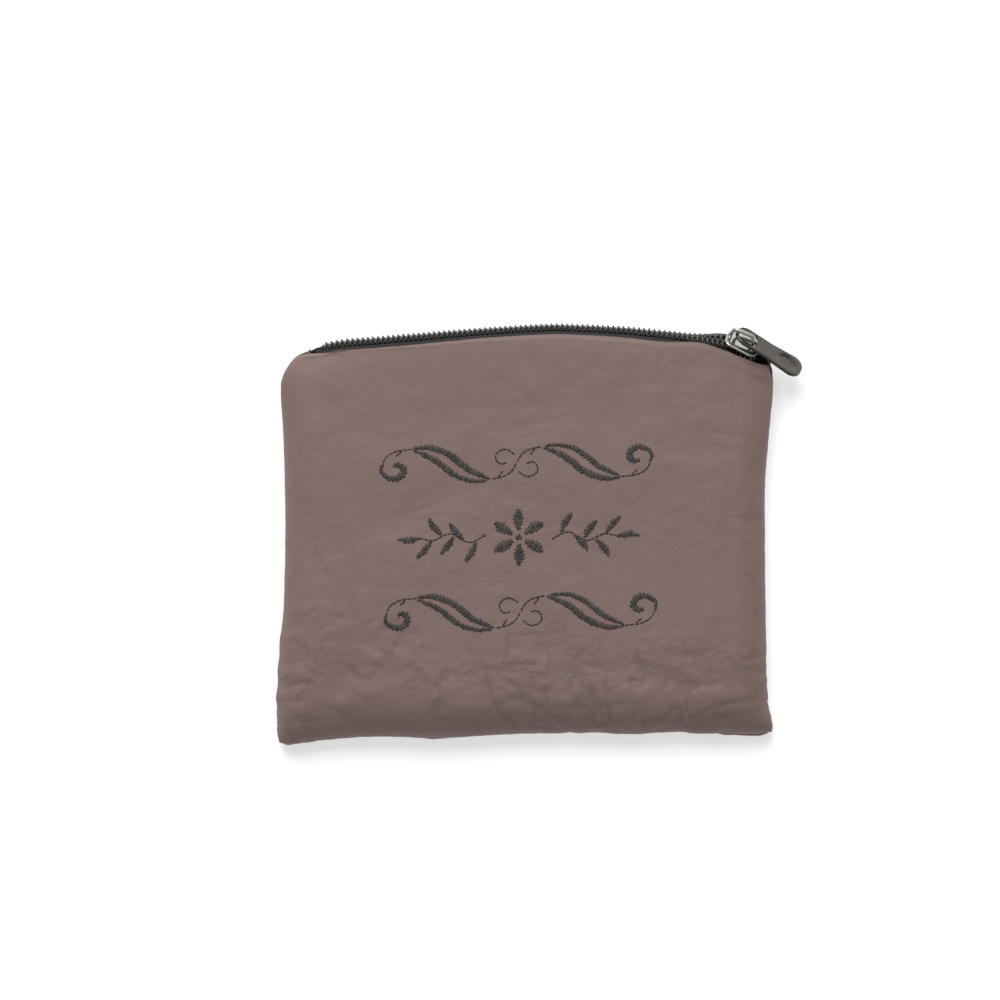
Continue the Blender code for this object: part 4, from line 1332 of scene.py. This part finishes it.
def make_embroidery(name, satins, runs, seed):
    """All the stitches of one motif as one piece, riding on the front leather."""
    random = np.random.default_rng(seed)
    pairs = [satin(line, widths, random) for line, widths in satins]
    satin_count = sum(len(pair[0]) for pair in pairs)
    pairs += [running(line, random) for line in runs]
    starts = np.vstack([pair[0] for pair in pairs])
    ends = np.vstack([pair[1] for pair in pairs])
    in_satin = np.arange(len(starts)) < satin_count
    lift = np.where(in_satin, SATIN_LIFT, RUNNING_LIFT) + random.uniform(-0.03, 0.04, len(starts))
    tubes = stitch_tubes(starts, ends, lift, np.where(in_satin, 1.0, RUNNING_SIZE), random)
    size = STITCH_RINGS * THREAD_SIDES
    offset = np.arange(len(tubes)) * size
    quads = grid_faces(STITCH_RINGS, THREAD_SIDES, round_rows=True)[None] + offset[:, None, None]
    caps = np.array([range(THREAD_SIDES), range(size - 1, size - 1 - THREAD_SIDES, -1)])
    caps = (caps[None] + offset[:, None, None]).reshape(-1, THREAD_SIDES)
    piece = make_piece(name, tubes, quads.reshape(-1, 4)[:, ::-1], THREAD, caps=caps[:, ::-1].tolist())
    ring = np.linspace(0, 1, STITCH_RINGS)[None, :, None] * np.ones((len(tubes), 1, THREAD_SIDES))
    turn = np.arange(THREAD_SIDES)[None, None] / THREAD_SIDES + 0 * ring
    lay_flat(piece, ring * np.linalg.norm(ends - starts, axis=1)[:, None, None], turn)
    # painted shade at each stitch's ends, where the thread dives in
    paint(piece, "dive_shade", np.abs(2 * ring - 1) ** 7)
    tone = random.uniform(0, 1, len(tubes)) * np.where(in_satin, 1.0, 0.25)
    paint(piece, "tone", tone[:, None, None] + 0 * ring)
    paint(piece, "fine", np.where(in_satin, 0.0, 1.0)[:, None, None] + 0 * ring)
    print(name, len(tubes), "stitches")
    return piece


# %% The scroll bands
SCROLL_MIDDLE = np.array((-2.53, 17.74))
LOWER_STEP = np.array((1.0, -37.4))
LEAF_LOW = ((6.7, 4.0), (8.5, 3.3), (11.5, 2.0), (14.0, 0.2), (16.5, -1.8), (19.1, -3.0), (22.1, -3.8),
            (25.9, -3.6))
LEAF_HIGH = ((7.4, 4.4), (11.0, 4.5), (13.5, 4.0), (16.0, 2.8), (18.6, 0.8), (21.1, -1.0), (25.9, -3.1))
SPIRAL = ((33.6, 0.4), (34.0, 1.8), (33.2, 3.3), (30.7, 4.1), (28.6, 2.9), (28.4, 1.3), (29.6, 0.5),
          (30.9, 0.8))
STEM = ((0.1, 0.1), (1.2, 2.1), (3.0, 3.3), (6.2, 4.1))
JOIN = ((26.0, -3.4), (30.2, -2.9), (32.7, -1.5), (33.6, 0.2))
CURL = ((0.5, -2.1), (2.1, -3.3), (3.6, -3.4), (5.2, -2.3), (5.2, -0.6), (3.9, 0.4), (2.5, -0.2))
BARBS = (((3.4, 2.0), (4.6, 3.5)), ((28.9, -2.8), (30.4, -1.6)))
# the satin columns, each with its widths from start to end
COLUMNS = (
    (LEAF_LOW, (0.5, 1.4, 1.8, 1.9, 1.9, 1.7, 1.3, 0.4)),
    (LEAF_HIGH, (0.4, 1.0, 1.3, 1.6, 1.6, 1.3, 0.4)),
    (SPIRAL, (0.5, 0.9, 1.3, 1.6, 1.8, 1.9, 1.7, 0.9)),
)


def scroll(middle):
    """Satin columns and running lines of one band: a half and the same half turned round."""
    satins = []
    runs = []
    for turned in (1, -1):
        satins += [(np.array(line) * turned + middle, widths) for line, widths in COLUMNS]
        runs += [np.array(line) * turned + middle for line in (STEM, JOIN, CURL, *BARBS)]
    return satins, runs


scroll_upper = make_embroidery("scroll_upper", *scroll(SCROLL_MIDDLE), 41)
scroll_lower = make_embroidery("scroll_lower", *scroll(SCROLL_MIDDLE + LOWER_STEP), 42)

# %% The middle motif
MOTIF_MIDDLE = np.array((-2.0, -0.9))
PETALS = 6
SPRIG = ((8.2, -0.6), (12.5, 1.4), (17.0, -0.9), (21.5, 0.9), (25.0, 0.2))
PETAL = ((1.8, 0.0), (3.5, 0.15), (5.3, 0.1), (7.0, -0.1))
HEART = ((-0.8, 0.0), (0.0, 0.05), (0.8, 0.0))
LEAF = ((0.3, 0.0), (2.2, 0.25), (4.1, 0.2), (5.7, -0.1))
# where each leaf starts, and its turn in degrees
LEAVES = ((10.6, 1.1, 62), (13.6, 0.9, -48), (16.3, -0.4, 55), (19.2, -0.2, -52), (21.9, 0.9, 50),
          (24.6, 0.3, 4))


def turned_line(line, degrees):
    """A line of points turned about the origin."""
    angle = math.radians(degrees)
    matrix = np.array(((math.cos(angle), math.sin(angle)), (-math.sin(angle), math.cos(angle))))
    return np.array(line) @ matrix


def middle_motif():
    """A rosette of satin petals with a sprig of leaves on either side."""
    satins = []
    runs = []
    for step in range(PETALS):
        petal = turned_line(PETAL, 360 / PETALS * step + 30) + MOTIF_MIDDLE
        satins.append((petal, (0.8, 2.6, 3.0, 0.6)))
    satins.append((np.array(HEART) + MOTIF_MIDDLE, (0.9, 1.6, 0.9)))
    for turned in (1, -1):
        runs.append(np.array(SPRIG) * turned + MOTIF_MIDDLE)
        for x, y, degrees in LEAVES:
            leaf = (turned_line(LEAF, degrees) + (x, y)) * turned + MOTIF_MIDDLE
            satins.append((leaf, (0.5, 1.8, 1.8, 0.4)))
    return satins, runs


centre_motif = make_embroidery("centre_motif", *middle_motif(), 43)

# %% [markdown]
# ## Light, floor and camera
#
# The photograph is a plain product shot: a white floor, a large soft light from beyond the zip and
# light from all round. So the world gives an even white light, and one area light adds the soft
# shade along the lower edge. The camera looks straight down through a long lens.

# %% Stage
VIEW_WIDTH = 0.2525
VIEW_MIDDLE = (-0.00669, 0.00840)
CAMERA_HEIGHT = 1.2
SENSOR = 0.036
LIGHT_PLACE = (-0.25, 1.35, 1.50)
LIGHT_SIZE = 1.4
LIGHT_POWER = 42.5
WORLD_STRENGTH = 0.37
FLOOR_REACH = 3.0
FLOOR_GREY = 0.66
FLOOR_GLOW = 0.52


def aim(thing, target):
    """Turns a light so that it looks at a point."""
    to_target = thing.location.copy()
    to_target.negate()
    to_target += target
    thing.rotation_euler = to_target.to_track_quat("-Z", "Y").to_euler()


def area_light(name, place, size, power):
    """A square light at a place, aimed at the purse."""
    lamp = bpy.data.lights.new(name, "AREA")
    lamp.size = size
    lamp.energy = power
    light = bpy.data.objects.new(name, lamp)
    light.location = place
    bpy.context.scene.collection.objects.link(light)
    aim(light, type(light.location)((0.0, 0.0, 0.01)))
    return light


def make_floor():
    """A pale plane just under the purse."""
    mesh = bpy.data.meshes.new("floor")
    corners = [(x * FLOOR_REACH, y * FLOOR_REACH, 0.0) for x, y in ((-1, -1), (1, -1), (1, 1), (-1, 1))]
    mesh.from_pydata(corners, [], [(0, 1, 2, 3)])
    pale = Finish("pale_floor", (FLOOR_GREY, FLOOR_GREY, FLOOR_GREY), 0.7, specular=0.2)
    pale.set(pale.shader, {"Emission Color": (1.0, 1.0, 1.0, 1.0), "Emission Strength": FLOOR_GLOW})
    mesh.materials.append(pale.material)
    floor = bpy.data.objects.new("floor", mesh)
    bpy.context.scene.collection.objects.link(floor)


make_floor()
area_light("soft_light", LIGHT_PLACE, LIGHT_SIZE, LIGHT_POWER)
world = bpy.data.worlds.new("even_light")
world.use_nodes = True
white = world.node_tree.nodes["Background"]
white.inputs["Color"].default_value = (1.0, 1.0, 1.0, 1.0)
white.inputs["Strength"].default_value = WORLD_STRENGTH
bpy.context.scene.world = world
lens = bpy.data.cameras.new("camera")
lens.sensor_width = SENSOR * 1000
lens.lens = SENSOR * 1000 * CAMERA_HEIGHT / VIEW_WIDTH
lens.clip_end = 20.0
camera = bpy.data.objects.new("camera", lens)
camera.location = (*VIEW_MIDDLE, CAMERA_HEIGHT + ZIP_HEIGHT * 0.001)
bpy.context.scene.collection.objects.link(camera)
bpy.context.scene.camera = camera
bpy.context.scene.view_settings.view_transform = "Standard"
